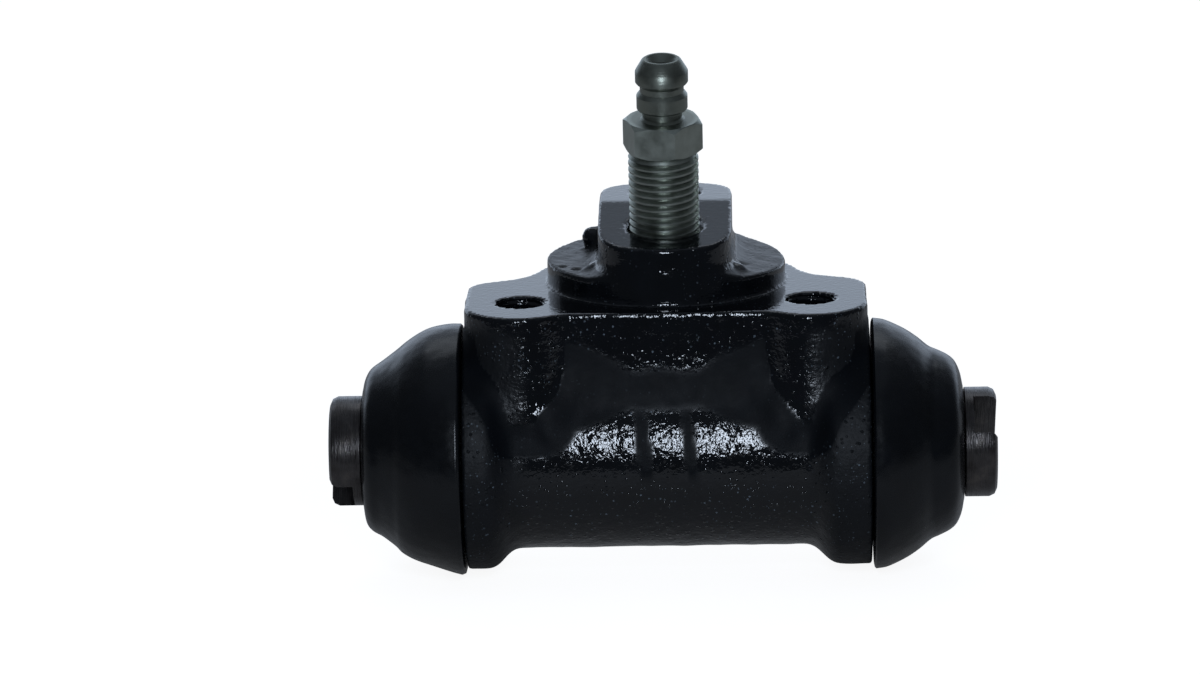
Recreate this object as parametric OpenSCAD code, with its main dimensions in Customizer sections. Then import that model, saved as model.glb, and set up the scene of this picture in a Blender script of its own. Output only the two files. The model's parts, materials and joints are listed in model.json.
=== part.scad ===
// Wheel cylinder of a drum brake, with two opposed pistons and a bleed nipple.
// Origin: centre of the round pilot on the mounting face. Z leaves that face, X runs along the bore.

/* [Bore and barrel] */
// Bore diameter, three quarters of an inch
bore_d = 19.05; // [18:0.05:20]
// Distance of the bore axis in front of the pilot's centre
bore_offset = 10; // [9.2:0.1:10.8]
// Depth of the bore axis under the mounting face
bore_drop = 22; // [21:0.1:23]
// Outer diameter of the barrel between the collars
barrel_d = 28.4; // [27:0.1:30]
// Outer diameter of the end collars
collar_d = 34.2; // [32:0.1:36]
// How far each collar's end face stands outside the ears
collar_over = 0.3; // [0.2:0.05:0.8]
// Straight part of each collar
collar_w = 3.9; // [3:0.1:5]
// Length of the curved shoulder from barrel to collar
shoulder_len = 4.3; // [3:0.1:6]

/* [Boot seat] */
// Diameter of the spigot that carries a boot
spigot_d = 27.6; // [26.6:0.1:28.6]
// Length of the spigot beyond the collar
spigot_len = 5.3; // [4.8:0.1:6]
// Diameter of the groove for the boot's bead
bead_d = 24.4; // [23.6:0.1:25.4]
// Width of the bead groove
bead_w = 2; // [1.4:0.1:2.4]
// Distance of the bead groove from the collar
bead_from = 1.5; // [1.2:0.1:2]

/* [Flange] */
// Distance between the two tapped holes
bolt_spacing = 41; // [40:0.1:42]
// Distance of the tapped holes in front of the pilot's centre
bolt_offset = 12.5; // [11.5:0.1:13.5]
// Tap drill of the mounting holes
tap_d = 6.64; // [6:0.02:7]
// Depth of the mounting holes to the drill point
tap_depth = 9; // [7:0.1:9.5]
// Diameter of the round lobe behind the pilot
lobe_d = 39.6; // [38:0.1:42]
// Thickness of the lobe
lobe_t = 8; // [7:0.1:10]
// Radius of the round columns around the holes
ear_r = 7.9; // [7.4:0.1:8.4]
// Front of the ears, from the pilot's centre
ear_reach = 22.5; // [21.5:0.1:23.2]
// Depth of the ears' side faces behind the mounting holes
ear_back = 11.6; // [10:0.1:12.5]
// Rounding of the ears' rear corners
ear_corner = 1.6; // [0.8:0.1:2.5]
// Slope of the ears' rear edge, in degrees
ear_slope = 23; // [18:1:28]
// Flat front wall between the ears, from the pilot's centre
front_wall = 20.1; // [19.4:0.1:20.8]
// Fillet between the front wall and each column
column_fillet = 4; // [2:0.5:5]
// Height of the front plate's underside above the barrel
plate_over = 0.6; // [0.4:0.1:0.8]
// Fillet under the front plate, onto the barrel
plate_fillet = 1.5; // [1:0.1:2]
// Fillet of the web under the lobe, onto the barrel
web_fillet = 12; // [10:0.5:14]

/* [Pilot and boss] */
// Diameter of the round pilot
pilot_d = 34; // [33:0.1:35]
// Height of the pilot's ledges
pilot_h = 3.5; // [3:0.1:4.5]
// Width of the port boss
boss_w = 19; // [17:0.1:21]
// Height of the boss at its rear face
boss_h = 11; // [10:0.1:12]
// Tilt of the boss's front face and of the bleed nipple
boss_tilt = 8; // [6:0.5:9]
// Ridge between the two faces, behind the pilot's centre
ridge_y = 2.6; // [2:0.1:3]
// Rear wall of the boss, behind the pilot's centre
boss_back = 15.2; // [14.4:0.1:15.8]
// Rounding of the boss's corners
boss_corner = 3.5; // [2:0.1:4.5]
// Step of the boss's front wall behind the pilot's wall
boss_step = 0.2; // [0.1:0.05:0.5]

/* [Ports] */
// Tap drill of the brake pipe port
port_d = 8.92; // [8.4:0.02:9.4]
// Depth of the pipe port
port_depth = 9.5; // [8:0.1:10.5]
// Pipe port behind the pilot's centre
port_y = 8.5; // [8:0.1:9]
// Diameter of the drilled passages to the bore
passage_d = 3; // [2.4:0.1:3.4]
// Slant of the pipe passage, in degrees
passage_slant = 32; // [30:1:34]

/* [Bleeder screw] */
// Bleeder hole in front of the pilot's centre
bleed_offset = 7; // [6.6:0.1:7.4]
// Outer diameter of the thread
thread_d = 9.94; // [9.6:0.02:10.2]
// Thread that stands out of the boss
thread_out = 11.3; // [9:0.1:13]
// Thread inside the boss
thread_in = 8; // [6.5:0.1:9]
// Hexagon across its flats
hex_af = 10; // [9.4:0.1:11]
// Height of the hexagon
hex_h = 4.7; // [4:0.1:6]
// Turn of the hexagon about the screw's axis
hex_turn = 12.4; // [0:0.1:60]
// Diameter of the lower neck
neck_d = 5.6; // [5:0.1:6]
// Length of the lower neck
neck_len = 1.5; // [1:0.1:2]
// Diameter of the lower rib
rib_d = 7.2; // [6.6:0.1:7.6]
// Length of the lower rib
rib_len = 2.5; // [2:0.1:3]
// Diameter of the groove under the top barb
groove_d = 6.2; // [5.6:0.1:6.5]
// Length of that groove
groove_len = 1.4; // [1:0.1:2]
// Diameter of the top barb
barb_d = 7.46; // [7:0.02:8]
// Straight length of the top barb
barb_len = 1.86; // [1.4:0.02:2.4]
// Diameter of the flat tip
tip_d = 5.2; // [4.6:0.1:5.8]
// Length of the cone up to the tip
tip_len = 1.64; // [1.2:0.02:2]
// Diameter of the smooth shank under the thread
shank_d = 7.2; // [6.6:0.1:7.6]
// Length of the smooth shank
shank_len = 3; // [2.6:0.1:3.6]
// Diameter of the seat cone's end
seat_d = 3.6; // [3.2:0.1:4]
// Diameter of the axial bleed hole
vent_d = 2.4; // [1.8:0.1:2.8]

/* [Pistons] */
// Radial running clearance in the bore
piston_gap = 0.04; // [0.02:0.01:0.08]
// Overall length of a piston
piston_len = 32; // [31:0.1:33]
// Length of the nose beyond the boot
nose_out = 4.7; // [4.2:0.1:5.4]
// Diameter of the nose
nose_d = 15.6; // [15:0.1:16.2]
// Land between the taper and the groove for the boot's lip
nose_land = 0.7; // [0.4:0.1:1]
// Length of the taper from the full diameter to the nose
taper_len = 3.9; // [3:0.1:4.5]
// Diameter of the groove for the boot's lip
lip_groove_d = 12.8; // [12:0.1:13.6]
// Chamfer of the end face
nose_chamfer = 1.1; // [0.6:0.1:1.6]
// Width of the slot for the brake shoe
slot_w = 6; // [5:0.1:7]
// Depth of the slot
slot_depth = 3.3; // [2.6:0.1:4]
// Turn of the left slot about the bore
slot_turn_left = -49; // [-90:1:90]
// Turn of the right slot about the bore
slot_turn_right = 47; // [-90:1:90]
// How much further in the right piston sits
inset_right = 1.4; // [0:0.1:2]

/* [Cups and spring] */
// Thickness of a cup's base
cup_base = 2.5; // [2:0.1:3]
// Overall length of a cup
cup_len = 6.8; // [5.5:0.1:8]
// Thickness of a cup's lip at its root
cup_wall = 2.2; // [1.8:0.1:2.6]
// Thickness of the expander's sheet
expander_t = 0.8; // [0.6:0.05:1]
// Height of the expander's rim over its plate
expander_rim = 1.4; // [1:0.1:2]
// Height of the expander's boss over its plate
expander_boss = 2.2; // [1.6:0.1:3]
// Mean diameter of the spring
spring_d = 8.4; // [7.6:0.1:9]
// Diameter of the spring wire
wire_d = 1; // [0.8:0.05:1.2]
// Turns of the spring
spring_turns = 8; // [6:0.5:9]

/* [Boots] */
// Diameter of a boot at its rim
boot_d = 35.8; // [35:0.1:37]
// Gap between a boot's rim and the collar
boot_seam = 0.3; // [0.2:0.05:0.6]
// Straight width of the rim
boot_rim = 2; // [1.4:0.1:2.6]
// Diameter at the boot's waist
waist_d = 27.2; // [26.6:0.1:27.8]
// Distance of the waist from the boot's end
waist_back = 4.3; // [4:0.1:4.6]
// Diameter of the bulge beyond the waist
bulge_d = 26; // [25.4:0.1:26.4]
// Length of the left boot
boot_len = 14.3; // [13.8:0.1:14.8]
// Rounding of the boot's end
boot_corner = 2.6; // [2.2:0.1:3]
// Thickness of the boot's wall
boot_wall = 1.7; // [1.4:0.1:2]
// Thickness of the lip in the piston's groove
lip_t = 2; // [1.6:0.1:2.2]

/* [Hidden] */
$fn = 96;

bolt_x = bolt_spacing / 2;
ear_cx = bolt_x;
ear_x = ear_cx + ear_r;
bore_r = bore_d / 2;
barrel_r = barrel_d / 2;
collar_r = collar_d / 2;
collar_x = ear_x + collar_over;
shoulder_end = collar_x - collar_w;
shoulder_from = shoulder_end - shoulder_len;
spigot_r = spigot_d / 2;
spigot_x = collar_x + spigot_len;
bead_x = collar_x + bead_from;
lobe_r = lobe_d / 2;
pilot_r = pilot_d / 2;
ear_cy = ear_r - ear_reach;
column_up = 5.5;
ear_depth = bore_drop - column_up;
plate_t = bore_drop - barrel_r - plate_over;
ear_top_y = ear_back - bolt_offset;
bury = 0.15;
edge = 0.4;
past = 1;
drill_cone = 0.6;
cross_up = 1.5;
cross_share = 0.7;
thread_r = thread_d / 2;
thread_gap = 0.05;
boss_front_z = boss_h - (pilot_r + ridge_y) * tan(boss_tilt);
bleed_z = boss_h - (bleed_offset + ridge_y) * tan(boss_tilt);
hex_z = thread_out + hex_h;
rib_z = hex_z + neck_len;
groove_z = rib_z + rib_len;
barb_z = groove_z + groove_len;
cone_z = barb_z + barb_len;
tip_z = cone_z + tip_len;
shank_z = -thread_in - shank_len;
seat_z = shank_z - (shank_d - seat_d) / 2;
boot_x = collar_x + boot_seam;
boot_end = boot_x + boot_len;
piston_end = boot_end + nose_out;
piston_in = piston_end - piston_len;
piston_r = bore_r - piston_gap;
nose_r = nose_d / 2;
lip_gap = 0.2;
seal_gap = 0.05;
lip_thin = 0.4;
lip_from = boot_end - lip_t - lip_gap;
piston_full = lip_from - nose_land - taper_len;
lip_groove_r = lip_groove_d / 2;
cup_x = piston_in - cup_base;
cup_r = bore_r - piston_gap;
seat_x = cup_x - expander_t;
boot_r = boot_d / 2;

function arc(cx, cy, r, a0, a1, n) =
    [for (i = [0 : n]) let (a = a0 + (a1 - a0) * i / n) [cx + r * cos(a), cy + r * sin(a)]];
function s_curve(r0, r1, x0, x1, soft, n) =
    [for (i = [0 : n])
        let (t = i / n, w = soft * (1 - cos(180 * t)) / 2 + (1 - soft) * t)
        [r0 + (r1 - r0) * w, x0 + (x1 - x0) * t]];
function bezier(p0, p1, p2, n) =
    [for (i = [0 : n]) let (t = i / n) (1 - t) * (1 - t) * p0 + 2 * t * (1 - t) * p1 + t * t * p2];
function flip_x(p) = [for (i = [len(p) - 1 : -1 : 0]) [-p[i][0], p[i][1]]];
function flip_y(p) = [for (i = [len(p) - 1 : -1 : 0]) [p[i][0], -p[i][1]]];

// Places a turned profile, drawn as [radius, distance along X], on the bore axis.
module on_bore() {
    translate([0, -bore_offset, -bore_drop])
        rotate([0, 90, 0])
            children();
}

// The same for the pieces that slide with the right piston.
module on_bore_right() {
    on_bore()
        translate([0, 0, -inset_right])
            children();
}

// The same for the left end.
module on_bore_left() {
    on_bore()
        mirror([0, 0, 1])
            children();
}

// Extrudes a profile drawn as [Y, Z] along X, centred on the middle plane.
module along_x(w) {
    translate([-w / 2, 0, 0])
        rotate([90, 0, 90])
            linear_extrude(w)
                children();
}

// Stands children on the bleeder's axis, with Z = 0 on the tilted face.
module on_bleeder() {
    translate([0, -bleed_offset, bleed_z])
        rotate([boss_tilt, 0, 0])
            children();
}

// Right half of the end of the barrel, from the shoulder to the spigot's mouth.
barrel_half = concat(
    s_curve(barrel_r, collar_r, shoulder_from, shoulder_end, 1, 10),
    [[collar_r, collar_x - edge],
     [collar_r - edge, collar_x],
     [spigot_r, collar_x],
     [spigot_r, bead_x],
     [bead_d / 2, bead_x],
     [bead_d / 2, bead_x + bead_w],
     [spigot_r, bead_x + bead_w],
     [spigot_r, spigot_x - 2 * edge],
     [spigot_r - 2 * edge, spigot_x]]);

module barrel() {
    on_bore()
        rotate_extrude()
            polygon(concat([[0, -spigot_x]], flip_y(barrel_half), barrel_half, [[0, spigot_x]]));
}

// Right half of the flange's plan, from the front wall round the ear to the lobe.
corner_cy = ear_top_y - ear_corner * tan(45 - ear_slope / 2);
line_foot = [ear_x - ear_corner * (1 - sin(ear_slope)), corner_cy + ear_corner * cos(ear_slope)];
line_dir = [-cos(ear_slope), sin(ear_slope)];
line_b = line_foot * line_dir;
line_c = line_foot * line_foot - lobe_r * lobe_r;
line_t = -line_b - sqrt(line_b * line_b - line_c);
lobe_meet = line_foot + line_t * line_dir;
lobe_angle = atan2(lobe_meet[1], lobe_meet[0]);
blend_len = 3.6;
blend_turn = 13;
arc_trim = 4;
column_turn = asin((front_wall + column_fillet + ear_cy) / (ear_r + column_fillet));
column_cx = ear_cx - (ear_r + column_fillet) * cos(column_turn);
plan_half = concat(
    arc(column_cx, -front_wall - column_fillet, column_fillet, 90, column_turn + arc_trim, 6),
    arc(ear_cx, ear_cy, ear_r, column_turn - 180, 0, 22),
    arc(ear_x - ear_corner, corner_cy, ear_corner, 0, 90 - ear_slope, 5),
    bezier(lobe_meet - blend_len * line_dir, lobe_meet,
           lobe_r * [cos(lobe_angle + blend_turn), sin(lobe_angle + blend_turn)], 7));
lobe_from = lobe_angle + blend_turn + arc_trim;
lobe_arc = arc(0, 0, lobe_r, lobe_from, 180 - lobe_from, 30);

module flange() {
    difference() {
        translate([0, 0, -ear_depth])
            linear_extrude(ear_depth)
                polygon(concat(plan_half, lobe_arc, flip_x(plan_half)));
        translate([-lobe_r, lobe_meet[1], -ear_depth - past])
            cube([2 * lobe_r, lobe_r, ear_depth + past - lobe_t]);
        front_pocket();
    }
}

// Room between the columns, below the front plate.
module front_pocket() {
    difference() {
        translate([-ear_cx, -ear_reach, -ear_depth - past])
            cube([2 * ear_cx, ear_reach - bore_offset, ear_depth + past - plate_t]);
        for (side = [-1, 1])
            translate([side * ear_cx, ear_cy, -ear_depth - 2 * past])
                cylinder(r = ear_r + bury, h = ear_depth + 2 * past);
    }
}

// Small fillet between the front plate's underside and the barrel.
front_fz = bury - plate_t - plate_fillet;
front_fy = -sqrt(pow(barrel_r - bury + plate_fillet, 2) - pow(front_fz + bore_drop, 2)) - bore_offset;
front_turn = atan2(-bore_drop - front_fz, -bore_offset - front_fy);

module front_web() {
    along_x(2 * ear_cx)
        polygon(concat(
            [[-bore_offset, -past], [front_fy, -past]],
            arc(front_fy, front_fz, plate_fillet, 90, front_turn, 10),
            [[-bore_offset, -bore_drop]]));
}

// Web under the lobe, clipped to the lobe's round outline.
rear_fz = bury - lobe_t - web_fillet;
rear_fy = sqrt(pow(barrel_r - bury + web_fillet, 2) - pow(rear_fz + bore_drop, 2)) - bore_offset;
rear_turn = 180 + atan2(bore_drop + rear_fz, rear_fy + bore_offset);

module rear_web() {
    intersection() {
        along_x(2 * lobe_r)
            polygon(concat(
                [[-bore_offset, -past], [-bore_offset, -bore_drop]],
                arc(rear_fy, rear_fz, web_fillet, rear_turn, 90, 14),
                [[rear_fy, -past]]));
        translate([0, 0, -bore_drop])
            cylinder(r = lobe_r - edge, h = bore_drop - past);
    }
}

// The boss follows the pilot's round wall in front, and its corners run into it in a soft curve.
boss_r = pilot_r - boss_step;
boss_x = boss_w / 2 - boss_corner;
boss_cy = -sqrt(pow(boss_r + bury - boss_corner, 2) - boss_x * boss_x);
boss_turn = atan2(boss_cy, boss_x);
boss_half = concat(
    [2 * boss_r * [cos(boss_turn), sin(boss_turn)]],
    arc(boss_x, boss_cy, boss_corner, boss_turn, 0, 7),
    arc(boss_x, boss_back - boss_corner, boss_corner, 0, 90, 7));

module pilot() {
    translate([0, 0, -past])
        cylinder(r = pilot_r, h = pilot_h + past);
}

module boss() {
    intersection() {
        cylinder(r = boss_r, h = boss_h + past);
        linear_extrude(boss_h + past)
            polygon(concat(boss_half, flip_x(boss_half)));
        along_x(boss_w + 2 * past)
            polygon([[-pilot_r, past],
                     [-pilot_r, boss_front_z],
                     [ridge_y, boss_h],
                     [pilot_r, boss_h],
                     [pilot_r, past]]);
    }
}

module tapped_hole(d, depth) {
    translate([0, 0, -depth])
        cylinder(d = d, h = depth + past);
    translate([0, 0, -depth - drill_cone * d / 2])
        cylinder(d1 = 0, d2 = d, h = drill_cone * d / 2);
    translate([0, 0, -edge])
        cylinder(d1 = d, d2 = d + 4 * edge, h = 2 * edge);
}

module bleeder_hole() {
    on_bleeder() {
        translate([0, 0, shank_z])
            cylinder(r = thread_r + thread_gap, h = 2 * past - shank_z);
        translate([0, 0, seat_z])
            cylinder(d1 = seat_d, d2 = shank_d, h = shank_z - seat_z);
        translate([0, 0, -bleed_z - bore_drop])
            cylinder(d = passage_d, h = bleed_z + bore_drop + seat_z + past / 2);
    }
}

module pipe_port() {
    translate([0, port_y, boss_h])
        tapped_hole(port_d, port_depth);
    translate([0, port_y, boss_h - port_depth])
        rotate([180 - passage_slant, 0, 0])
            cylinder(d = passage_d, h = bore_drop);
}

module cylinder_body() {
    color([0.07, 0.075, 0.085])
        difference() {
            union() {
                barrel();
                flange();
                front_web();
                rear_web();
                pilot();
                boss();
            }
            translate([-spigot_x - past, -bore_offset, -bore_drop])
                rotate([0, 90, 0])
                    cylinder(r = bore_r, h = 2 * (spigot_x + past));
            for (side = [-1, 1])
                translate([side * bolt_x, -bolt_offset, 0])
                    tapped_hole(tap_d, tap_depth);
            bleeder_hole();
            pipe_port();
        }
}

module bleeder_screw() {
    hex_r = hex_af / 2 / cos(30);
    color([0.42, 0.43, 0.38])
        on_bleeder()
            difference() {
                union() {
                    rotate_extrude()
                        polygon([[0, seat_z + bury], [seat_d / 2 - bury, seat_z + bury],
                                 [shank_d / 2 - bury, shank_z + bury],
                                 [shank_d / 2 - bury, -thread_in],
                                 [thread_r, thread_r - shank_d / 2 - thread_in],
                                 [thread_r, thread_out - edge],
                                 [thread_r - edge, thread_out + edge],
                                 [0, thread_out + edge]]);
                    intersection() {
                        translate([0, 0, thread_out])
                            rotate([0, 0, -hex_turn])
                                cylinder(r = hex_r, h = hex_h, $fn = 6);
                        translate([0, 0, thread_out])
                            rotate_extrude()
                                polygon([[0, -past], [hex_r - 2 * edge, -past],
                                         [hex_r - 2 * edge, 0],
                                         [hex_r + edge, 1.6 * edge],
                                         [hex_r + edge, hex_h - 1.6 * edge],
                                         [hex_r - 2 * edge, hex_h],
                                         [hex_r - 2 * edge, hex_h + past], [0, hex_h + past]]);
                    }
                    rotate_extrude()
                        polygon([[0, hex_z - past], [neck_d / 2, hex_z - past],
                                 [neck_d / 2, rib_z - edge / 2],
                                 [rib_d / 2, rib_z], [rib_d / 2 - edge / 2, groove_z],
                                 [groove_d / 2, groove_z + edge / 2],
                                 [groove_d / 2, barb_z - edge],
                                 [barb_d / 2, barb_z], [barb_d / 2, cone_z],
                                 [tip_d / 2, tip_z], [0, tip_z]]);
                }
                translate([0, 0, shank_z + cross_up])
                    cylinder(d = vent_d, h = tip_z - shank_z);
                translate([0, 0, tip_z - 2 * edge])
                    cylinder(d1 = vent_d, d2 = vent_d + 6 * edge, h = 3 * edge);
                translate([0, 0, shank_z + cross_up])
                    rotate([0, 90, 0])
                        cylinder(d = cross_share * vent_d, h = 3 * shank_d, center = true);
            }
}

module piston(turn) {
    difference() {
        rotate_extrude()
            polygon([[0, piston_in], [piston_r - edge, piston_in],
                     [piston_r, piston_in + edge], [piston_r, piston_full],
                     [nose_r, piston_full + taper_len], [nose_r, lip_from],
                     [lip_groove_r, lip_from], [lip_groove_r, boot_end + lip_gap],
                     [nose_r, boot_end + lip_gap], [nose_r, piston_end - nose_chamfer],
                     [nose_r - nose_chamfer, piston_end], [0, piston_end]]);
        rotate([0, 0, turn])
            translate([-piston_r, -slot_w / 2, piston_end - slot_depth])
                cube([2 * piston_r, slot_w, slot_depth + past]);
    }
}

// Slot turns count from the front of the bore, upwards positive; the profile's own X points down.
module piston_left() {
    color([0.2, 0.18, 0.17])
        on_bore_left()
            piston(90 - slot_turn_left);
}

module piston_right() {
    color([0.2, 0.18, 0.17])
        on_bore_right()
            piston(90 - slot_turn_right);
}

module cup() {
    rotate_extrude()
        polygon([[0, cup_x], [cup_r - cup_wall, cup_x],
                 [cup_r - lip_thin * cup_wall, piston_in - cup_len],
                 [cup_r, piston_in - cup_len + edge],
                 [cup_r, piston_in - cup_len + 3 * edge],
                 [cup_r - edge, piston_in - edge],
                 [cup_r - 2 * edge, piston_in], [0, piston_in]]);
}

module cup_left() {
    color([0.05, 0.05, 0.05])
        on_bore_left()
            cup();
}

module cup_right() {
    color([0.05, 0.05, 0.05])
        on_bore_right()
            cup();
}

// Dished seat: a plate on the cup's base, a rim inside the lip and a boss inside the spring.
module expander() {
    plate_r = cup_r - cup_wall - 2 * edge;
    boss_r = (spring_d - wire_d - edge) / 2;
    rim_x = seat_x - expander_rim;
    boss_x = seat_x - expander_boss;
    rotate_extrude()
        polygon([[0, cup_x], [plate_r, cup_x], [plate_r + edge, rim_x],
                 [plate_r + edge - expander_t, rim_x], [plate_r - expander_t, seat_x],
                 [boss_r, seat_x], [boss_r - edge, boss_x], [0, boss_x]]);
}

module expander_left() {
    color([0.6, 0.6, 0.58])
        on_bore_left()
            expander();
}

module expander_right() {
    color([0.6, 0.6, 0.58])
        on_bore_right()
            expander();
}

// Spring wire swept along a helix whose end turns lie close together.
module return_spring() {
    sides = 8;
    turn_steps = 16;
    steps = turn_steps * spring_turns;
    reach = seat_x - (wire_d + inset_right + seal_gap) / 2;
    close = wire_d + seal_gap;
    pitch = 2 * (reach - close) / (spring_turns - 2);
    function rise(t) =
        t < 1 ? close * t - reach
        : t > spring_turns - 1 ? reach - close * (spring_turns - t)
        : close - reach + pitch * (t - 1);
    points = [for (i = [0 : steps], k = [0 : sides - 1])
        let (t = i / turn_steps, a = 360 * t, q = 360 * k / sides, r = (spring_d + wire_d * cos(q)) / 2)
        [r * cos(a), r * sin(a), rise(t) + wire_d / 2 * sin(q)]];
    skin = [for (i = [0 : steps - 1], k = [0 : sides - 1])
        let (m = (k + 1) % sides)
        [i * sides + k, i * sides + m, (i + 1) * sides + m, (i + 1) * sides + k]];
    first = [for (k = [sides - 1 : -1 : 0]) k];
    last = [for (k = [0 : sides - 1]) steps * sides + k];
    color([0.55, 0.55, 0.56])
        on_bore()
            translate([0, 0, -inset_right / 2])
                polyhedron(points, concat(skin, [first], [last]), convexity = 10);
}

function boot_outer(end) = concat(
    [[boot_r - edge, boot_x], [boot_r, boot_x + edge]],
    s_curve(boot_r, waist_d / 2, boot_x + boot_rim, end - waist_back, 0.5, 12),
    [[bulge_d / 2, end - waist_back + 2 * edge]],
    arc(bulge_d / 2 - boot_corner - edge, end - boot_corner, boot_corner, 0, 90, 6));

module boot(end) {
    seat_r = spigot_r + seal_gap;
    bead_r = bead_d / 2 + seal_gap;
    bead_end = bead_x + bead_w - seal_gap;
    lip_r = lip_groove_r + 2 * seal_gap;
    rotate_extrude()
        polygon(concat(
            boot_outer(end),
            [[lip_r, end], [lip_r, end - lip_t],
             [bulge_d / 2 - boot_wall - boot_corner / 2, end - lip_t],
             [bulge_d / 2 - boot_wall, end - lip_t - boot_corner / 2],
             [waist_d / 2 - boot_wall, end - waist_back - past],
             [seat_r + edge, spigot_x + edge],
             [seat_r, spigot_x - edge],
             [seat_r, bead_end], [bead_r, bead_end],
             [bead_r, bead_x + seal_gap], [seat_r, bead_x + seal_gap], [seat_r, boot_x]]));
}

module boot_left() {
    color([0.04, 0.042, 0.046])
        on_bore_left()
            boot(boot_end);
}

module boot_right() {
    color([0.04, 0.042, 0.046])
        on_bore()
            boot(boot_end - inset_right);
}

cylinder_body();
bleeder_screw();
piston_left();
piston_right();
cup_left();
cup_right();
expander_left();
expander_right();
return_spring();
boot_left();
boot_right();
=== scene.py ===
# %% [markdown]
# # A wheel cylinder from a drum brake
#
# Brake fluid enters this casting and pushes two pistons apart, and they spread the brake shoes. The
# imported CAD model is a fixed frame: it says where each piece sits and which body it moves with. The cells
# below dress that frame, one piece or one finish at a time, in millimetres until the last step.

# %% Load the frame
import json
import math

import bmesh
import bpy
import numpy as np
from mathutils import Matrix, Vector


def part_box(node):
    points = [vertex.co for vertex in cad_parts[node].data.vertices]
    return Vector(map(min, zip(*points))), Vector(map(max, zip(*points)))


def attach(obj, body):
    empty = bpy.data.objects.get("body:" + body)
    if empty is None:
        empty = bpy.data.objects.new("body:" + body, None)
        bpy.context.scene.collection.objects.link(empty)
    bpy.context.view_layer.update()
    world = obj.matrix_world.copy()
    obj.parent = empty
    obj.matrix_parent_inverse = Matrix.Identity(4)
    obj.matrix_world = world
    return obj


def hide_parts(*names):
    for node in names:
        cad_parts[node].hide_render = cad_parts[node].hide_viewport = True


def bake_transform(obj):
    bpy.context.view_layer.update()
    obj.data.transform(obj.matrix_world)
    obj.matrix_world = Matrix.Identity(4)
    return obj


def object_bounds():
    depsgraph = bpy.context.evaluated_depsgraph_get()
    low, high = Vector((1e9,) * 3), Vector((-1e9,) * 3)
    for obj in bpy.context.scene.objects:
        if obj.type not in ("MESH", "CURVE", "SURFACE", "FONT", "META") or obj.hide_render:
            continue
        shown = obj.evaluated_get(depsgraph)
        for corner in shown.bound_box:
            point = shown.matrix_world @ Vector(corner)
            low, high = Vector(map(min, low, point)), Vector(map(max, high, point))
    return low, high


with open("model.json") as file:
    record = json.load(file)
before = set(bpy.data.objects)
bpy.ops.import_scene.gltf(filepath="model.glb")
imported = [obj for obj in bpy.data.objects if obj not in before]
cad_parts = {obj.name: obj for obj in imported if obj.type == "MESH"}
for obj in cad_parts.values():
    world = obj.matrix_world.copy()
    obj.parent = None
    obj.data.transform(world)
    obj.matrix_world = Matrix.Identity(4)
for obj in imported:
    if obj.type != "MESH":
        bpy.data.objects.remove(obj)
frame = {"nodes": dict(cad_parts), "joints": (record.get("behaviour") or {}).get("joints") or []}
cad_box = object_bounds()
MM = 0.001

# %% [markdown]
# ## Sizes that the frame already knows
#
# A dressed piece has to lie exactly on its CAD solid, so sizes are read from the solids' boxes where a
# box can tell them. Typing them twice would work too, until somebody changes one of the two.

# %% Read sizes from the boxes


def box_mm(node):
    low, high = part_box(node)
    return np.array(low) / MM, np.array(high) / MM


body_low, body_high = box_mm("cylinder_body")
left_high = box_mm("piston_left")[1]
right_low, right_high = box_mm("piston_right")
AXIS_Y, AXIS_Z = (right_low[1:] + right_high[1:]) / 2
PISTON_R = (right_high[1] - right_low[1]) / 2
RUNNING_GAP = 0.04
BORE_R = PISTON_R + RUNNING_GAP
SPIGOT_X = body_high[0]
LOBE_R = body_high[1]
BOSS_H = body_high[2]
COLLAR_R = AXIS_Z - body_low[2]
print(f"bore axis at y {AXIS_Y:.2f}, z {AXIS_Z:.2f} mm, bore radius {BORE_R:.3f} mm")

# %% [markdown]
# ## The camera
#
# The photograph was taken from a little above, with a long lens. A long lens far away keeps the two ends
# of the bore nearly the same size. The camera is placed by its target, distance and angles instead of by
# dragging it, so that each number has a meaning. The small roll tilts the picture as the photograph is.

# %% Set the camera
TARGET = Vector((0, -8, -8)) * MM
CAMERA_DISTANCE = 850 * MM
ELEVATION = math.radians(14.05)
YAW = math.radians(-0.95)
ROLL = math.radians(1.10)
PHOTO_W, PHOTO_H = 1200, 674
FOCAL_PX = 5980
TARGET_PX = (666.9, 347.2)
SENSOR_MM = 36

level = math.cos(ELEVATION)
toward = Vector((math.sin(YAW) * level, math.cos(YAW) * level, -math.sin(ELEVATION)))
level_right = Vector((math.cos(YAW), -math.sin(YAW), 0))
level_up = level_right.cross(toward)
right = math.cos(ROLL) * level_right - math.sin(ROLL) * level_up
up = math.sin(ROLL) * level_right + math.cos(ROLL) * level_up

camera = bpy.data.objects.new("photo_camera", bpy.data.cameras.new("photo_camera"))
bpy.context.collection.objects.link(camera)
camera.data.sensor_width = SENSOR_MM
camera.data.lens = FOCAL_PX / PHOTO_W * SENSOR_MM
camera.data.shift_x = (PHOTO_W / 2 - TARGET_PX[0]) / PHOTO_W
camera.data.shift_y = (TARGET_PX[1] - PHOTO_H / 2) / PHOTO_W
turn = Matrix((right, up, -toward)).transposed().to_4x4()
camera.matrix_world = Matrix.Translation(TARGET - toward * CAMERA_DISTANCE) @ turn
bpy.context.scene.camera = camera
print(f"lens {camera.data.lens:.1f} mm, shift {camera.data.shift_x:.4f}, {camera.data.shift_y:.4f}")

# %% [markdown]
# ## Small helpers for finishes
#
# A finish is a graph of nodes around one Principled shader. Adding a node, setting its sockets and
# linking it takes four lines each time, so one helper does it. Textures read the object's own coordinates
# in metres: a noise of scale 1000 then has grains of about a millimetre on every piece.

# %% Define the node helpers


def new_finish(name):
    material = bpy.data.materials.new(name)
    material.use_nodes = True
    return material, material.node_tree, material.node_tree.nodes["Principled BSDF"]


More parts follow.
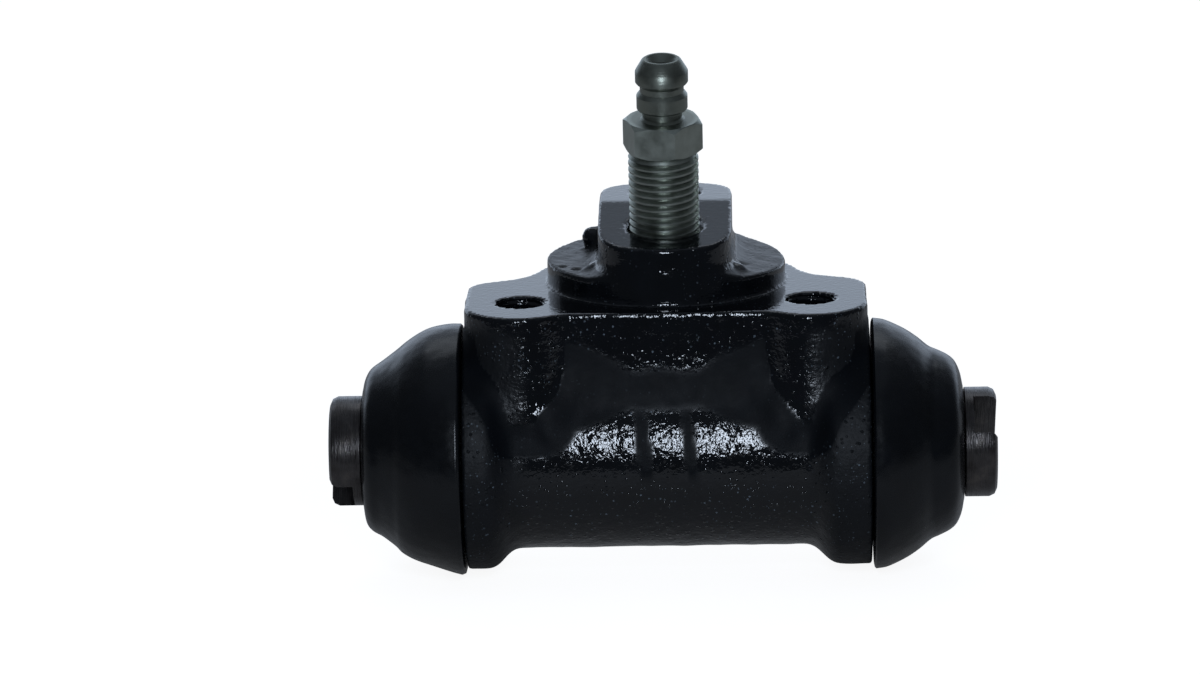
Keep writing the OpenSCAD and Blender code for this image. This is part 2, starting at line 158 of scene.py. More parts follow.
def add_node(tree, kind, settings=None, **sockets):
    node = tree.nodes.new(kind)
    for key, value in (settings or {}).items():
        setattr(node, key, value)
    for key, value in sockets.items():
        name = key.replace("_", " ")
        socket = node.inputs[int(key[1:])] if key[1:].isdigit() else node.inputs[name]
        if isinstance(value, bpy.types.NodeSocket):
            tree.links.new(value, socket)
        else:
            socket.default_value = value
    return node


print("node helpers ready")

# %% [markdown]
# ## Words for textures and sums
#
# A node graph is easier to read as code when its most used nodes have short names: spots for a noise with
# grains of a given size, span for a change of range, relief for a bump with a depth in millimetres.
# Building the graphs by hand in the shader editor would work too, but then the sizes couldn't be compared
# with the part.

# %% Define the texture helpers


def spots(tree, coordinates, grain_mm, detail=3.0, roughness=0.55):
    noise = add_node(tree, "ShaderNodeTexNoise", Vector=coordinates, Scale=1 / (grain_mm * MM),
                     Detail=detail, Roughness=roughness)
    return noise.outputs["Fac"]


def span(tree, value, low, high, to_low, to_high):
    node = add_node(tree, "ShaderNodeMapRange", Value=value, From_Min=low, From_Max=high,
                    To_Min=to_low, To_Max=to_high)
    return node.outputs["Result"]


def maths(tree, operation, *values):
    sockets = {f"s{k}": value for k, value in enumerate(values)}
    return add_node(tree, "ShaderNodeMath", {"operation": operation}, **sockets).outputs[0]


def times(tree, a, b):
    return maths(tree, "MULTIPLY", a, b)


def mixed(tree, share, first, second):
    return add_node(tree, "ShaderNodeMix", {"data_type": "RGBA"}, s0=share, s6=first, s7=second).outputs[2]


def colours(tree, factor, *stops):
    ramp = add_node(tree, "ShaderNodeValToRGB", Fac=factor)
    elements = ramp.color_ramp.elements
    while len(elements) < len(stops):
        elements.new(1)
    for element, (place, colour) in zip(elements, stops):
        element.position = place
        element.color = (*colour, 1)
    return ramp.outputs["Color"]


def relief(tree, height, depth_mm, strength=1.0, normal=None):
    bump = add_node(tree, "ShaderNodeBump", Height=height, Distance=depth_mm * MM, Strength=strength)
    if normal is not None:
        tree.links.new(normal, bump.inputs["Normal"])
    return bump.outputs["Normal"]


def own_coordinates(tree):
    return add_node(tree, "ShaderNodeTexCoord").outputs["Object"]


print("texture helpers ready")

# %% [markdown]
# ## Black paint: where it lies
#
# The casting is dipped in thick black paint, which follows the sandy skin of the casting. Faces that were
# milled before painting stay smooth. The graph finds them by their normal: only a milled face points
# straight up. The turned wall of the pilot is found by its distance from the axis. In the fillets in
# front the paint is smooth and dull. Written as nodes, that band would be a long graph, so the mesh
# carries it as a number on each vertex, called ribbon, and the graph reads that.

# %% Find the zones of the paint
LEDGE_HEIGHTS = (2.8 * MM, 4.2 * MM, 0.2 * MM)
WALL_RADII = (16.2 * MM, 17.3 * MM, 0.1 * MM)


def within(tree, value, low, high, soft):
    """1 between two limits, 0 outside them."""
    return times(tree, span(tree, value, low - soft, low, 0, 1), span(tree, value, high, high + soft, 1, 0))


def axis_distance(tree, place):
    """Distance from the Z axis of the piece's own coordinates."""
    flat = add_node(tree, "ShaderNodeVectorMath", {"operation": "MULTIPLY"}, s0=place, s1=(1, 1, 0))
    length = add_node(tree, "ShaderNodeVectorMath", {"operation": "LENGTH"}, s0=flat.outputs[0])
    return length.outputs["Value"]


def paint_zones(tree, place, height):
    """Shares of cast skin, top of the ledge, turned wall and dull band."""
    normal = add_node(tree, "ShaderNodeNewGeometry").outputs["Normal"]
    upright = add_node(tree, "ShaderNodeSeparateXYZ", Vector=normal).outputs["Z"]
    ledge = within(tree, height, *LEDGE_HEIGHTS)
    milled = times(tree, span(tree, upright, 0.955, 0.985, 0, 1), span(tree, ledge, 0, 1, 1, 0))
    wall = times(tree, within(tree, axis_distance(tree, place), *WALL_RADII),
                 span(tree, height, 0.3 * MM, 0.6 * MM, 0, 1))
    wall = times(tree, wall, span(tree, upright, 0.3, 0.6, 1, 0))
    band = add_node(tree, "ShaderNodeAttribute", {"attribute_name": "ribbon"}).outputs["Fac"]
    cast = times(tree, span(tree, milled, 0, 1, 1, 0.1), span(tree, wall, 0, 1, 1, 0.15))
    cast = times(tree, cast, span(tree, band, 0, 1, 1, 0.1))
    return cast, times(tree, ledge, span(tree, upright, 0.4, 0.7, 0, 1)), wall, band


print("paint zones: ledge at", [round(v / MM, 1) for v in LEDGE_HEIGHTS[:2]], "mm")

# %% [markdown]
# ## Black paint: dust, painted glints and grit
#
# Pale specks are painted on the paint: partly dust, partly painted glints. Grit under the paint makes
# low domes that break a highlight into many small glints. An image texture could show both, but it
# would need a file. A Voronoi texture has one random cell for each grain, and about a third of its cells
# get a speck or a dome.

# %% Scatter dust, painted glints and grit
# Colour of the pale specks: partly dust, partly painted glints.
DUST_AND_GLINT_COLOUR = (0.14, 0.17, 0.20, 1)


def specks(tree, place, apart_mm):
    """Small spots in a third of the cells of a Voronoi texture."""
    cells = add_node(tree, "ShaderNodeTexVoronoi", Vector=place, Scale=1 / (apart_mm * MM))
    small = span(tree, cells.outputs["Distance"], 0.12, 0.20, 1, 0)
    return times(tree, small, span(tree, cells.outputs["Color"], 0.58, 0.62, 0, 1))


def grit(tree, place, apart_mm):
    """Low domes in a third of the cells of a Voronoi texture."""
    cells = add_node(tree, "ShaderNodeTexVoronoi", Vector=place, Scale=1 / (apart_mm * MM))
    dome = add_node(tree, "ShaderNodeMapRange", {"interpolation_type": "SMOOTHSTEP"},
                    Value=cells.outputs["Distance"], From_Min=0.0, From_Max=0.4, To_Min=1.0, To_Max=0.0)
    return times(tree, dome.outputs["Result"], span(tree, cells.outputs["Color"], 0.60, 0.66, 0, 1))


def black_with_dust_and_glints(tree, place, height, band):
    """Colour of the paint, with pale specks of dust and painted glints that mostly stay off the dull band and
    the top.
    """
    patches = span(tree, spots(tree, place, 7), 0.40, 0.60, 0, 1)
    # The specks stand for dust and, in part, for painted glints.
    dust_and_glints = maths(tree, "MAXIMUM", specks(tree, place, 0.9), specks(tree, place, 0.45))
    dust_and_glints = times(tree, dust_and_glints, times(tree, patches, span(tree, band, 0, 1, 1, 0.1)))
    dust_and_glints = times(tree, dust_and_glints, span(tree, height, -2 * MM, 0, 1, 0.4))
    paint = colours(tree, spots(tree, place, 4), (0.3, (0.0022, 0.003, 0.0044)),
                    (0.8, (0.0042, 0.0056, 0.008)))
    return mixed(tree, dust_and_glints, paint, DUST_AND_GLINT_COLOUR)


def paint_relief(tree, place, cast, wall):
    """Uneven skin, grit and fine sand, and rings from the lathe on the turned wall."""
    skin = relief(tree, spots(tree, place, 1.9, 2), 0.11, cast)
    skin = relief(tree, grit(tree, place, 0.7), 0.14, cast, skin)
    sand = relief(tree, spots(tree, place, 0.8, 2, 0.6), 0.09, span(tree, cast, 0, 1, 0.25, 1), skin)
    lathe = add_node(tree, "ShaderNodeVectorMath", {"operation": "MULTIPLY"}, s0=place, s1=(0.02, 0.02, 1))
    return relief(tree, spots(tree, lathe.outputs[0], 0.25, 2), 0.012, wall, sand)


print("dust colour", DUST_AND_GLINT_COLOUR[:3])

# %% [markdown]
# ## Black paint: the finish
#
# The paint is glossy and slightly blue in the light. One Principled shader without metal does it: a low
# roughness for the gloss, a higher one where the paint is dull, and the relief of skin, grit and sand on
# top of each other.

# %% Mix the black paint
END_FROM, END_FULL = 19 * MM, 24 * MM
DULL_MORE, LEDGE_MORE = 0.50, 0.34


def black_paint():
    material, tree, shader = new_finish("black_paint")
    place = own_coordinates(tree)
    where = add_node(tree, "ShaderNodeSeparateXYZ", Vector=place).outputs
    cast, ledge_top, wall, band = paint_zones(tree, place, where["Z"])
    ends = span(tree, maths(tree, "ABSOLUTE", where["X"]), END_FROM, END_FULL, 0, 1)
    ends = times(tree, ends, span(tree, where["Z"], -3 * MM, -1 * MM, 1, 0))
    rough = span(tree, spots(tree, place, 1.6), 0.3, 0.7, 0.04, 0.11)
    rough = maths(tree, "MULTIPLY_ADD", maths(tree, "MAXIMUM", ends, band), DULL_MORE, rough)
    rough = maths(tree, "MULTIPLY_ADD", ledge_top, LEDGE_MORE, rough)
    mirror = times(tree, span(tree, ends, 0, 1, 0.5, 0.3), span(tree, band, 0, 0.5, 1, 0.28))
    tree.links.new(black_with_dust_and_glints(tree, place, where["Z"], band), shader.inputs["Base Color"])
    tree.links.new(rough, shader.inputs["Roughness"])
    tree.links.new(mirror, shader.inputs["Specular IOR Level"])
    tree.links.new(paint_relief(tree, place, cast, wall), shader.inputs["Normal"])
    return material


BLACK_PAINT = black_paint()
print("made", BLACK_PAINT.name)

# %% [markdown]
# ## Helpers for meshes
#
# Numpy makes the points in millimetres and one function turns them into an object in metres. Faces that
# meet at more than an angle keep a sharp edge between them, all others are shaded smooth.

# %% Define the mesh helpers
SHARP = math.radians(38)


def new_piece(name, points, faces, material):
    mesh = bpy.data.meshes.new(name)
    mesh.from_pydata((np.asarray(points) * MM).tolist(), [], np.asarray(faces).tolist())
    mesh.materials.append(material)
    piece = bpy.data.objects.new(name, mesh)
    bpy.context.collection.objects.link(piece)
    return piece


def weld(piece, reach_mm=0.002):
    shape = bmesh.new()
    shape.from_mesh(piece.data)
    bmesh.ops.remove_doubles(shape, verts=shape.verts, dist=reach_mm * MM)
    bmesh.ops.dissolve_degenerate(shape, edges=shape.edges, dist=reach_mm * MM)
    bmesh.ops.recalc_face_normals(shape, faces=shape.faces)
    shape.to_mesh(piece.data)
    shape.free()


def shade(piece, sharp=SHARP):
    piece.data.shade_smooth()
    piece.data.set_sharp_from_angle(angle=sharp)


def columns_mesh(columns):
    """Faces between neighbouring columns of points, for a closed ring of columns."""
    count, rows = columns.shape[:2]
    index = np.arange(count * rows).reshape(count, rows)
    beside = np.roll(index, -1, axis=0)
    faces = np.stack([index[:, :-1], beside[:, :-1], beside[:, 1:], index[:, 1:]], axis=-1)
    return columns.reshape(-1, 3), faces.reshape(-1, 4)


def measure(piece):
    size = np.array(piece.dimensions) / MM
    print(f"{piece.name}: {len(piece.data.polygons)} faces, {size[0]:.1f} x {size[1]:.1f} x {size[2]:.1f} mm")


print("mesh helpers ready")

# %% [markdown]
# ## The casting as a field
#
# An iron casting is hard to model from separate solids, because every inner corner is a soft fillet and
# each fillet has its own size. Booleans with bevels could do it, but bevels fail where three fillets
# meet. Here the casting is a field: a function that is negative inside the iron and positive outside. A
# soft minimum of two fields is their union with a fillet, and a soft maximum rounds an outer edge. Where
# two surfaces meet at a flat angle a soft minimum swells too far, so the large fillets are true circles
# instead.

# %% Define soft unions and cuts


def soft_union(a, b, fillet):
    near = np.maximum(fillet - np.abs(a - b), 0) / fillet
    return np.minimum(a, b) - near * near * fillet / 4


def fillet_union(a, b, radius, lean):
    """Union with a round fillet; lean is the cosine of the angle between the two surfaces' normals."""
    lean = np.clip(lean, -0.9, 0.985)
    u, v = np.maximum(radius - a, 0), np.maximum(radius - b, 0)
    off = np.sqrt(np.maximum(u * u + v * v - 2 * u * v * lean, 0) / (1 - lean * lean))
    in_corner = (u > v * lean) & (v > u * lean) & (u > 0) & (v > 0)
    return np.where(in_corner, np.minimum(radius - off, np.minimum(a, b)), np.minimum(a, b))


def soft_both(a, b, edge):
    return -soft_union(-a, -b, edge)


def soft_cut(a, hole, edge):
    return soft_both(a, -hole, edge)


def ripple(x, y, z, wave_mm, seed):
    k = 2 * math.pi / wave_mm
    first = np.sin(k * (x + 0.37 * y) + seed) * np.sin(k * (0.91 * y - 0.42 * z) + 2.1 * seed)
    second = np.sin(1.7 * k * (z + 0.28 * x) - seed) * np.sin(1.37 * k * (x - 0.61 * z) + 0.7 * seed)
    return (first + 0.6 * second) / 1.6


print("soft corner of two walls, 4 mm fillet:", soft_union(np.array(1.0), np.array(1.0), 4.0))

# %% [markdown]
# ## The barrel
#
# The barrel is turned about the bore: a straight middle, a curved shoulder and a collar at each end, and
# a spigot with a groove that holds the boot. A lathe shape could be revolved from an outline. As a field
# it is the distance from the axis, less a radius that changes along x.

# %% Write the barrel
BARREL_R = 14.2
COLLAR_X, COLLAR_W, SHOULDER_LEN, CORE_SHIFT = 28.7, 3.9, 4.3, 0.9
SPIGOT_R, BEAD_R, BEAD_FROM, BEAD_W = 13.8, 12.2, 1.5, 2.0
EDGE = 0.5


def shoulder(x):
    """The barrel's radius at x, and how steeply it grows towards the end."""
    rise = np.clip((np.abs(x + CORE_SHIFT) - COLLAR_X + COLLAR_W + SHOULDER_LEN) / SHOULDER_LEN, 0, 1)
    step = (COLLAR_R - BARREL_R) / 2
    return BARREL_R + step * (1 - np.cos(np.pi * rise)), step * np.pi * np.sin(np.pi * rise) / SHOULDER_LEN


def barrel(x, y, z):
    radius, steep = shoulder(x)
    return (np.hypot(y - AXIS_Y, z - AXIS_Z) - radius) / np.sqrt(1 + steep * steep)


def spigots(x, y, z):
    from_axis, out = np.hypot(y - AXIS_Y, z - AXIS_Z), np.abs(x)
    groove = np.abs(out - COLLAR_X - BEAD_FROM - BEAD_W / 2) - BEAD_W / 2
    spigot = soft_both(from_axis - SPIGOT_R, out - SPIGOT_X, EDGE)
    return np.maximum(spigot, -np.maximum(groove, BEAD_R - from_axis))


print("barrel radius", BARREL_R, "mm, collar radius", round(float(COLLAR_R), 2), "mm")

# %% [markdown]
# ## Columns, plate and lobe
#
# Two round columns carry the tapped holes. A plate joins them in front, above the barrel, and widens to a
# round lobe behind. Each is a plan, seen from above, that is cut off at a height. Left and right are
# alike, so the fields use |x|.

# %% Write the ears and the lobe
EAR_X, EAR_R, EAR_FRONT = 20.5, 7.9, 22.5
EAR_Y = EAR_R - EAR_FRONT
EAR_SIDE = EAR_X + EAR_R
EAR_TOP_Y, EAR_SLOPE, EAR_CORNER = -0.9, math.radians(23), 3.2
EAR_BOTTOM, EAR_REAR, EAR_OVERLAP = -16.2, 2.8, -3.0
DRAFT, TOE = 0.0045, 3.0
FRONT_WALL, LOBE_T = 20.1, 8.0
PLAN_FILLET, LOBE_BLEND, WEB_R = 4.0, 3.0, 12.0
WEB_Z = -LOBE_T - WEB_R
WEB_Y = AXIS_Y + math.sqrt((BARREL_R + WEB_R) ** 2 - (WEB_Z - AXIS_Z) ** 2)
CAST_EDGE, LOBE_FROM = 1.6, -6.0


def column_plan(x, y, z):
    """Outline of the two round columns at a height, and how far their surface faces the front."""
    out, behind = np.abs(x) - EAR_X, y - EAR_Y
    from_hole = np.hypot(out, behind)
    facing = np.maximum(-behind, 0) / np.maximum(from_hole, 0.01)
    return from_hole - EAR_R - DRAFT * z * z * facing ** 2, facing


def ear_plan(x, y):
    out = np.abs(x)
    rear = (out - EAR_SIDE) * math.sin(EAR_SLOPE) + (y - EAR_TOP_Y) * math.cos(EAR_SLOPE)
    return np.maximum(soft_both(out - EAR_SIDE, rear, EAR_CORNER), EAR_Y - y)


def ears(x, y, z):
    """Plate front and columns, down to their toes in the barrel."""
    column, facing = column_plan(x, y, z)
    front = np.maximum(np.abs(x) - EAR_X, np.maximum(-FRONT_WALL - y, y))
    plan = np.minimum(fillet_union(front, column, PLAN_FILLET, facing), ear_plan(x, y))
    return soft_both(np.maximum(plan, y - EAR_REAR), EAR_BOTTOM - z, TOE)


def lobe(x, y, z):
    """The round rear of the plate, with the ears' sloped rear edges running into it."""
    plan = soft_union(ear_plan(x, y), np.maximum(np.hypot(x, y) - LOBE_R, -y), LOBE_BLEND)
    return soft_both(np.maximum(plan, LOBE_FROM - y), -LOBE_T - z, CAST_EDGE)


def lobe_web(x, y, z):
    """The hollow curve under the lobe, down to the back of the barrel."""
    hollow = np.maximum(WEB_R - np.hypot(y - WEB_Y, z - WEB_Z), np.maximum(AXIS_Y - y, y - WEB_Y))
    hollow = np.maximum(hollow, np.maximum(AXIS_Z - z, z - EAR_OVERLAP))
    return soft_both(hollow, np.hypot(x, y) - LOBE_R + EDGE, CAST_EDGE)


print("ear columns at x", EAR_X, "and y", round(EAR_Y, 2), "mm")

# %% [markdown]
# ## Joining the cast shapes
#
# Barrel and ears are joined with true round fillets: a large one below the plate and smaller ones around
# the columns. The slow unevenness of a sand mould is added to the whole. Another field says where the
# paint is dull: in the band of fillets in front, and in two runs that split the highlight on the barrel.

# %% Join the casting
PLATE_FILLET, COLUMN_FILLET, SHOULDER_FILLET, TOE_FILLET, RIBBON = 12.0, 5.0, 2.5, 1.5, 1.8
PLATE_BLEND, CAST_WAVE = 3.0, 0.07
RIBBON_SOFT, RIBBON_TOP, NEAR_COLUMN, NEAR_MORE = 0.6, -3.0, 9.0, 2.0
FACE_SKIN, FACE_FROM, FACE_RANGE = 0.6, 0.6, 0.2
RUNS, RUN_Z, RUN_H, RUN_SLANT, RUN_WAVER = ((-3.3, 0.85), (3.2, 0.75)), -17.5, 5.0, 0.1, 0.3


def front_joint(x, y, z):
    """Barrel and ears, with a large fillet below the plate and smaller ones around the columns."""
    tube, front = barrel(x, y, z), ears(x, y, z)
    column, facing = column_plan(x, y, z)
    plate = np.clip(column / PLATE_BLEND, 0, 1) * (np.abs(x) < EAR_X) * (y < AXIS_Y)
    side = np.where((np.abs(x) < EAR_X) & (y < AXIS_Y), COLUMN_FILLET, SHOULDER_FILLET)
    toe = TOE_FILLET + (side - TOE_FILLET) * (1 - facing)
    lean = plate * (AXIS_Y - y) / np.hypot(y - AXIS_Y, z - AXIS_Z)
    return fillet_union(tube, front, toe + (PLATE_FILLET - toe) * plate, lean)


def ribbon(x, y, z):
    """1 where the paint is dull: on the band of fillets in front, and in two runs on the barrel."""
    column, facing = column_plan(x, y, z)
    near = np.clip(1 - column / NEAR_COLUMN, 0, 1)
    on_face = np.clip(1 - column / FACE_SKIN, 0, 1) * np.clip((facing - FACE_FROM) / FACE_RANGE, 0, 1)
    off = np.maximum(barrel(x, y, z) * (0.5 + 4.0 * on_face), ears(x, y, z)) + 0.12 * ripple(x, y, z, 9, 1.3)
    dull = np.clip((RIBBON + NEAR_MORE * near - off) / RIBBON_SOFT, 0, 1)
    for middle, width in RUNS:
        across = (x - middle + RUN_SLANT * (z - RUN_Z) + RUN_WAVER * ripple(x, y, z, 7, 0.6)) / width
        dull = np.maximum(dull, np.exp(-across ** 8 - ((z - RUN_Z) / RUN_H) ** 4))
    return dull * (y < AXIS_Y) * np.clip(RIBBON_TOP - z, 0, 1)


def cast_shapes(x, y, z):
    iron = np.minimum(front_joint(x, y, z), np.minimum(lobe(x, y, z), lobe_web(x, y, z)))
    iron = iron + CAST_WAVE * ripple(x, y, z, 13, 0.4) + CAST_WAVE * ripple(x, y, z, 4.6, 1.9)
    return np.minimum(soft_both(iron, np.abs(x) - COLLAR_X, EDGE), spigots(x, y, z))


print("fillets of", PLATE_FILLET, COLUMN_FILLET, SHOULDER_FILLET, "mm")

# %% [markdown]
# ## Pilot and boss
#
# The machined faces come after the cast skin, as in the shop, and that keeps them flat: the mounting
# face, the round pilot and the boss with its two top faces. The ledge of the pilot is rough, so it gets
# lumps and pits. A displacement texture could roughen it too, but a few balls, joined or cut, are easier
# to place.

# %% Machine the pilot and the boss
PILOT_R, PILOT_H, LEDGE_FALL = 17.0, 3.5, 0.09
BOSS_HALF, BOSS_REAR, BOSS_CORNER = 9.5, 15.2, 5.0
BOSS_TILT, RIDGE_Y = math.radians(8), 2.6
FOOT = 2.6
RIDGE_EDGE, LUMP_BLEND, PIT_EDGE = 0.15, 1.2, 0.3
LUMPS = ((-10.6, 5.2, 5.2, 1.5), (-10.2, -8.0, 3.2, 1.0), (10.4, -9.6, 3.3, 1.0))
PITS = ((-12.6, -7.6, 3.9, 0.8), (-14.6, -5.8, 3.8, 0.7), (-13.2, -11.0, 3.8, 0.5), (11.3, -5.5, 4.2, 1.0),
        (-25.6, -10.6, 0.25, 0.5), (-24.6, -4.0, 0.2, 0.4), (14.2, -6.8, 3.8, 0.35))


def ball(x, y, z, spot):
    """Field of a ball, from its centre and radius."""
    return np.sqrt(sum((p - c) ** 2 for p, c in zip((x, y, z), spot))) - spot[3]


def pilot_and_boss(x, y, z):
    turned = np.hypot(x, y) - PILOT_R
    plan = soft_both(np.abs(x) - BOSS_HALF, y - BOSS_REAR, BOSS_CORNER)
    plan = soft_both(plan, turned, BOSS_CORNER)
    ledge = (z - PILOT_H + LEDGE_FALL * np.clip(x - BOSS_HALF, 0, PILOT_R - BOSS_HALF)
             + 0.04 * ripple(x, y, z, 3.1, 0.8) + 0.05 * ripple(x, y, z, 7.3, 2.2))
    solid = soft_both(soft_union(ledge, plan, FOOT), turned, EDGE)
    sloped = (z - BOSS_H - (y - RIDGE_Y) * math.tan(BOSS_TILT)) * math.cos(BOSS_TILT)
    top = soft_both(sloped, z - BOSS_H, RIDGE_EDGE)
    for lump in LUMPS:
        solid = soft_union(solid, ball(x, y, z, lump), LUMP_BLEND)
    for pit in PITS:
        solid = soft_cut(solid, ball(x, y, z, pit), PIT_EDGE)
    return np.maximum(soft_both(solid, top, EDGE), -1 - z)


print("boss ridge at y", RIDGE_Y, "mm, height", round(float(BOSS_H), 2), "mm")

# %% [markdown]
# ## Bore, threads and passages
#
# A drilled hole is the field of a cylinder, cut from the iron with a small soft edge. The tapped holes
# are cut a little wide, because their threads are pieces of their own. The bleed hole leans with the
# boss's front face, so its axis comes from the frame's own joint, the one that lets the bleed screw turn.

# %% Drill the casting
bleed_joint = next(joint for joint in frame["joints"] if joint["name"] == "bleeder_turn")
BLEED_POINT = np.array(bleed_joint["pos_m"]) / MM
BLEED_AXIS = np.array(bleed_joint["axis"])
BOLT_X, BOLT_Y, BOLT_DEPTH = EAR_X, -12.5, 9.0
PORT_Y, PORT_DEPTH = 8.5, 9.5
BOLT_MINOR, BOLT_MAJOR, BOLT_PITCH = 3.2, 3.44, 1.25
PORT_MINOR, PORT_MAJOR, PORT_PITCH = 4.46, 5.0, 1.0
BLEED_HOLE_R, BLEED_HOLE_DEPTH, BLEED_SINK = 5.02, 11.0, 5.75
PASSAGE_R, PASSAGE_SLANT = 1.5, math.radians(32)
DRILL_OUT, SINK_H, HOLE_EDGE = 6.0, 2.0, 0.25
MOUTH_CHAMFER, BOLT_SINK, PORT_SINK = 0.8, 0.15, 0.25


def drill(x, y, z, start, axis, radius, depth, sink=0.0):
    """Field of a hole that goes in against the axis, from a start point on the face."""
    dx, dy, dz = x - start[0], y - start[1], z - start[2]
    along = dx * axis[0] + dy * axis[1] + dz * axis[2]
    off = np.sqrt(np.maximum(dx * dx + dy * dy + dz * dz - along * along, 0))
    hole = np.maximum(off - radius, np.maximum(-depth - along, along - DRILL_OUT))
    if not sink:
        return hole
    return np.minimum(hole, np.maximum(off - radius - sink - along, np.abs(along) - SINK_H))


def holes(x, y, z):
    up_axis = (0, 0, 1)
    bore = np.hypot(y - AXIS_Y, z - AXIS_Z) - BORE_R
    mouth = bore - np.maximum(np.abs(x) - SPIGOT_X + MOUTH_CHAMFER, 0)
    bolts = drill(np.abs(x), y, z, (BOLT_X, BOLT_Y, 0), up_axis, BOLT_MAJOR, BOLT_DEPTH, BOLT_SINK)
    port = drill(x, y, z, (0, PORT_Y, BOSS_H), up_axis, PORT_MAJOR, PORT_DEPTH, PORT_SINK)
    bleed = drill(x, y, z, BLEED_POINT, BLEED_AXIS, BLEED_HOLE_R, BLEED_HOLE_DEPTH,
                  BLEED_SINK - BLEED_HOLE_R)
    feed = drill(x, y, z, BLEED_POINT, BLEED_AXIS, PASSAGE_R, -AXIS_Z + BLEED_POINT[2])
    slant = (0, math.sin(PASSAGE_SLANT), math.cos(PASSAGE_SLANT))
    pipe = drill(x, y, z, (0, PORT_Y, BOSS_H - PORT_DEPTH), slant, PASSAGE_R, -AXIS_Z)
    field = np.minimum(np.minimum(mouth, bolts), np.minimum(port, bleed))
    return np.minimum(field, np.minimum(feed, pipe))


def casting(x, y, z):
    iron = soft_both(cast_shapes(x, y, z), z, EDGE)
    iron = soft_union(iron, pilot_and_boss(x, y, z), EDGE)
    return soft_cut(iron, holes(x, y, z), HOLE_EDGE)


print("bleed hole leans by", round(math.degrees(math.acos(BLEED_AXIS[2])), 2), "degrees")

# %% [markdown]
# ## From field to mesh
#
# The field is sampled on a grid. Each grid cell that the surface crosses gets one vertex, and each grid
# edge that it crosses gets one quad around it. This is called surface nets. The vertices then slide down
# the field's slope until they lie on the true surface, so the grid leaves no steps behind.

# %% Define the surface net


def skin(field, low, high, step):
    axes = [np.arange(a, b + step, step) for a, b in zip(low, high)]
    value = field(*np.meshgrid(*axes, indexing="ij", sparse=True))
    crossings, rings, flips = [], [], []
    for axis in range(3):
        first, second = np.delete(value, -1, axis), np.delete(value, 0, axis)
        edge = np.argwhere((first < 0) != (second < 0))
        here, there = first[tuple(edge.T)], second[tuple(edge.T)]
        point = edge.astype(float)
        point[:, axis] += here / (here - there)
        ring = []
        side, other = [k for k in range(3) if k != axis]
        for a, b in ((-1, -1), (0, -1), (0, 0), (-1, 0)):
            cell = edge.copy()
            cell[:, side] += a
            cell[:, other] += b
            ring.append(np.ravel_multi_index(cell.T, value.shape))
        crossings.append(point)
        rings.append(np.stack(ring, axis=1))
        flips.append((here >= 0) != (axis == 1))
    rings, flips = np.concatenate(rings), np.concatenate(flips)
    _, faces = np.unique(rings, return_inverse=True)
    faces = faces.reshape(rings.shape)
    spread = np.repeat(np.concatenate(crossings), 4, axis=0)
    count = np.bincount(faces.ravel())
    middle = [np.bincount(faces.ravel(), spread[:, k]) / count for k in range(3)]
    faces[flips] = faces[flips][:, ::-1]
    return np.asarray(low) + np.stack(middle, axis=1) * step, faces


def slope(field, points, reach=0.02):
    columns = []
    for shift in np.eye(3) * reach:
        columns.append((field(*(points + shift).T) - field(*(points - shift).T)) / (2 * reach))
    return np.stack(columns, axis=1)


def settle(field, points, rounds=4, longest=0.25):
    for _ in range(rounds):
        way = slope(field, points)
        move = field(*points.T) / np.maximum((way ** 2).sum(axis=1), 0.25)
        points = points - np.clip(move, -longest, longest)[:, None] * way
    return points


def soften(points, faces, share, rounds):
    """Moves each point towards the middle of its neighbours, by a share of its own."""
    pairs = np.concatenate([faces[:, [k, (k + 1) % 4]] for k in range(4)])
    pairs = np.concatenate([pairs, pairs[:, ::-1]])
    count = np.bincount(pairs[:, 0])
    for _ in range(rounds):
        sums = [np.bincount(pairs[:, 0], points[pairs[:, 1], k]) for k in range(3)]
        middle = np.stack([total / count for total in sums], axis=1)
        points = points + share[:, None] * (middle - points)
    return points


print("surface net helpers ready")

# %% [markdown]
# ## The mesh of the casting
#
# A grid of about half a millimetre keeps the fillets and stays far below the limit of faces. Away from
# machined edges the points are softened a little, as thick paint softens iron. Normals come from the
# field at machined edges and from the mesh elsewhere, because a grid alone can't show a crisp edge. The
# dull band goes along as a number on each vertex.

# %% Skin the casting
GRID_MM = 0.56
SOFT_ROUNDS, SOFT_SHARE = 8, 0.5
KEEP_END, KEEP_TOP, KEEP_RANGE = 0.6, 0.7, 0.8

margin = 2 * GRID_MM
points, faces = skin(casting, body_low - margin, body_high + margin, GRID_MM)
points = np.clip(settle(casting, points), body_low, body_high)
off_ends = np.minimum(COLLAR_X - KEEP_END - np.abs(points[:, 0]), -KEEP_TOP - points[:, 2])
off_machined = np.minimum(np.abs(holes(*points.T)), off_ends)
as_cast = np.clip(off_machined / KEEP_RANGE, 0, 1)
points = soften(points, faces, SOFT_SHARE * as_cast, SOFT_ROUNDS)
body = new_piece("painted_casting", points, faces, BLACK_PAINT)
body.data.shade_smooth()
normals = slope(casting, points)
normals /= np.linalg.norm(normals, axis=1, keepdims=True)
meshed = np.array([tuple(normal.vector) for normal in body.data.vertex_normals])
normals = normals + as_cast[:, None] * (meshed - normals)
body.data.normals_split_custom_set_from_vertices(normals.tolist())
dull_band = ribbon(*points.T).astype(np.float32)
body.data.attributes.new("ribbon", "FLOAT", "POINT").data.foreach_set("value", dull_band)
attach(body, "cylinder")
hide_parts("cylinder_body")
measure(body)

# %% [markdown]
# ## Threads in the tapped holes
#
# A thread is a groove on a helix. Rows of points follow the helix: each column of points is lifted a bit
# more than the one before, by one pitch in a full turn. Where the rows leave the hole they are pressed
# flat onto its end, and welding then removes the faces that have lost their area.

# %% Cut the inner threads
THREAD_ROWS = 8
HOLE_COLUMNS = 48
LINER_WALL, LINER_DOWN = 0.3, 0.35


